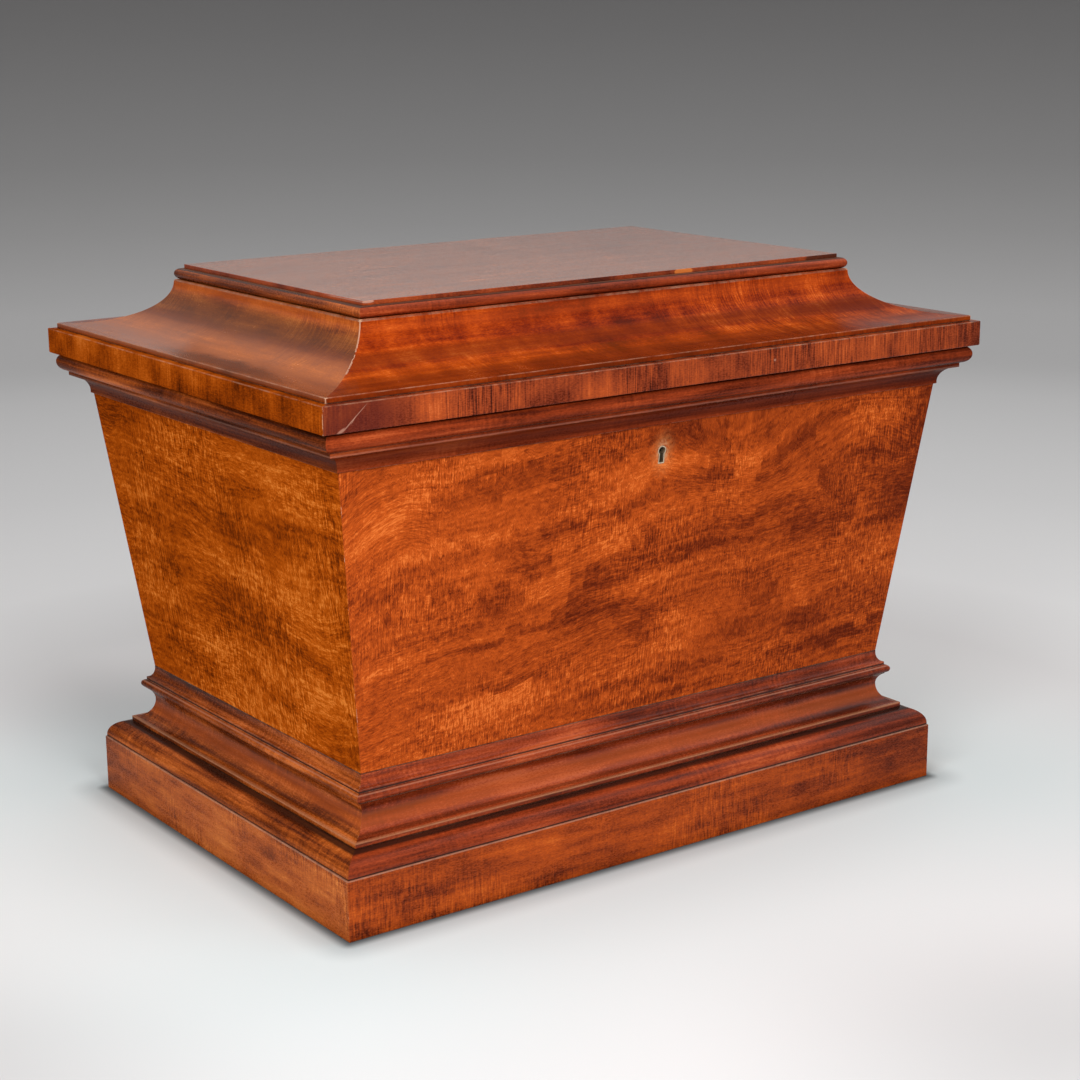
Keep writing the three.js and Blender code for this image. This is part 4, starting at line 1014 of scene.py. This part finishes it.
# Butt hinges: cast brass leaves let in flush, one on the carcass and one on the lid, three screws in each.
# Their knuckles turn on an iron pin.
HINGE_SCREW = 3.4
HINGE_SCREWS = ((-22, 243), (0, 249), (22, 243))  # from the hinge's middle, and from the middle of the chest
hinge_screw = screw(HINGE_SCREW)
for side, x in zip(("left", "right"), HINGES):
    for name, finish in (("leaf_carcass", brass), ("leaf_lid", brass), ("pin", iron)):
        nodes[f"hinge_{name}_{side}"].material_slots[0].material = finish
    for number, (step, y) in enumerate(HINGE_SCREWS):
        for body, facing in (("carcass", 1), ("lid", -1)):
            name = f"hinge_screw_{body}_{side}_{number + 1}"
            drive(hinge_screw, name, (x + step, y, WALL_HEAD), (0, 0, facing), 0.9 * number + 0.3, body, iron)
for pattern in (lock_screw, link_screw, hinge_screw):
    bpy.data.objects.remove(pattern)

# Studio: a round pale floor that turns up all round into a low wall, darker towards its head, and open
# above. Its greys are painted light: a pale pool round the chest, and painted shade up the wall. The
# chest's contact shade is part of the paper's tones, from the plinth outwards.
FLOOR_REACH, TURN_UP, TURN_STEPS, WALL_LIP = 2.8, 0.8, 12, 0.1
FLOOR_DROP = 0.0002
# Painted light: the greys ring the chest with a pale pool and darken up the wall.
GREYS = (
    (0.45, 238), (0.75, 230), (1.0, 243), (1.55, 231), (2.42, 221), (3.2, 200), (3.6, 173), (3.87, 155),
    (4.13, 142), (4.36, 129), (4.5, 127),
)  # a distance over the floor and up the wall, and the grey there
RAMP_REACH = 5
# The first entry is a cool tint, painted to take out the warm light that the chest throws on the paper.
CONTACT_SHADES = (
    (0.4, 0.14, (130, 232, 238)), (0.2, 0.04, (60, 60, 62)), (0.045, 0.36, (60, 60, 62)),
    (0.014, 0.8, (56, 56, 58)),
)  # how far each reaches from the plinth, its strength and its tone
bpy.ops.object.select_all(action="DESELECT")
bpy.ops.mesh.primitive_circle_add(
    vertices=96, radius=FLOOR_REACH, fill_type="TRIFAN", location=(0, 0, -FLOOR_DROP),
)
floor = bpy.context.object
floor.name = "studio_floor"
rim = {point.index for point in floor.data.vertices if point.co.length > FLOOR_REACH / 2}
pick(floor, "edges", lambda edge: rim.issuperset(edge.vertices))
reach, rise = FLOOR_REACH, 0
for step in range(1, TURN_STEPS + 1):
    turn = math.radians(90 * step / TURN_STEPS)
    next_reach, next_rise = FLOOR_REACH + TURN_UP * math.sin(turn), TURN_UP * (1 - math.cos(turn))
    bpy.ops.mesh.extrude_edges_move(TRANSFORM_OT_translate={"value": (0, 0, next_rise - rise)})
    bpy.ops.transform.resize(value=(next_reach / reach, next_reach / reach, 1))
    reach, rise = next_reach, next_rise
bpy.ops.mesh.extrude_edges_move(TRANSFORM_OT_translate={"value": (0, 0, WALL_LIP)})
bpy.ops.mesh.select_all(action="SELECT")
bpy.ops.mesh.normals_make_consistent(inside=True)
shut()
bpy.ops.object.shade_smooth()
paper = Finish("studio_paper", Roughness=1, Specular_IOR_Level=0)
distance = (paper.x * paper.x + paper.y * paper.y).root() + paper.z
greys = ((place / RAMP_REACH, tone(grey, grey - 1, grey - 1)) for place, grey in GREYS)
shade = paper.ramp(distance * (1 / RAMP_REACH), *greys)
# Painted shade on the floor well in front of the chest, out to either side.
aside, ahead = (paper.x * 0.81 - paper.y * 0.58).size(), paper.x * -0.58 - paper.y * 0.81
shade = paper.mix(aside.rising(0.1, 0.44) * ahead.rising(0.3, 0.6) * 0.36, shade, tone(160, 160, 160))
flat = paper.at(paper.x, 0, paper.y)
# A painted pool of light on the floor to the chest's left.
shade = paper.mix(paper.patch(flat, (-460, 130), (230, 400), 0, 0.3) * 0.6, shade, tone(255, 255, 255))
# A painted shadow on the floor behind the chest, at its left end.
shade = paper.mix(paper.patch(flat, (-230, 440), (110, 170), 0, 0.2) * 0.25, shade, tone(90, 90, 92))
past_end = (paper.x.size() - PLINTH_REACH * MM).at_least(0)
past_front = (paper.y.size() - (PLINTH_REACH - DEPTH_STEP) * MM).at_least(0)
clear = (past_end * past_end + past_front * past_front).root()
for spread, strength, contact in CONTACT_SHADES:
    shade = paper.mix((1 - clear.rising(0, spread)) * strength, shade, tone(*contact))
floor.data.materials.append(paper.give(Base_Color=shade))


# Lamps: two large soft boxes in front of the chest and one to its right, high up. The plain light of the
# room does the rest, and only the lamp on the right shows in the polish.
def soft_box(name, place, target, size, power, mirrored=False):
    bpy.ops.object.light_add(type="AREA", location=place)
    light = bpy.context.object
    light.name = name
    light.data.shape = "RECTANGLE"
    light.data.size, light.data.size_y = size
    light.data.energy = power
    light.rotation_euler = (Vector(place) - Vector(target)).to_track_quat("Z", "Y").to_euler()
    light.visible_camera, light.visible_glossy = False, mirrored


soft_box("right_soft_box", place=(-0.4, -1.85, 1.4), target=(-0.1, -0.2, 0.2), size=(0.9, 0.9), power=18)
soft_box("left_soft_box", place=(-1.65, -1.1, 1.4), target=(-0.1, -0.2, 0.2), size=(1.1, 1.1), power=20)
soft_box("top_soft_box", place=(1.7, -0.7, 2.3), target=(0, 0, 0.4), size=(1.8, 1.4), power=8, mirrored=True)
world = bpy.data.worlds.new("studio_air")
world.use_nodes = True
world.node_tree.nodes["Background"].inputs["Color"].default_value = (1, 1, 1, 1)
world.node_tree.nodes["Background"].inputs["Strength"].default_value = 0.55
bpy.context.scene.world = world

# Camera: in front of the chest and to its left, a little above the lid, with a long lens, so that the
# upright corners stay almost parallel.
CAMERA_PLACE = (-1.2761, -1.8141, 0.8166)
AZIMUTH, ELEVATION, ROLL = (math.radians(angle) for angle in (-35.736, 14.04, -0.378))
LENS, SENSOR = 74.35, 36
level = math.cos(ELEVATION)
back = Vector((math.sin(AZIMUTH) * level, -math.cos(AZIMUTH) * level, math.sin(ELEVATION)))
right = Vector((math.cos(AZIMUTH), math.sin(AZIMUTH), 0))
up = back.cross(right)
right, up = right * math.cos(ROLL) + up * math.sin(ROLL), up * math.cos(ROLL) - right * math.sin(ROLL)
bpy.ops.object.camera_add()
camera = bpy.context.object
camera.matrix_world = Matrix.Translation(CAMERA_PLACE) @ Matrix((right, up, back)).transposed().to_4x4()
camera.data.lens, camera.data.sensor_width = LENS, SENSOR
bpy.context.scene.camera = camera
bpy.context.scene.view_settings.view_transform = "Standard"
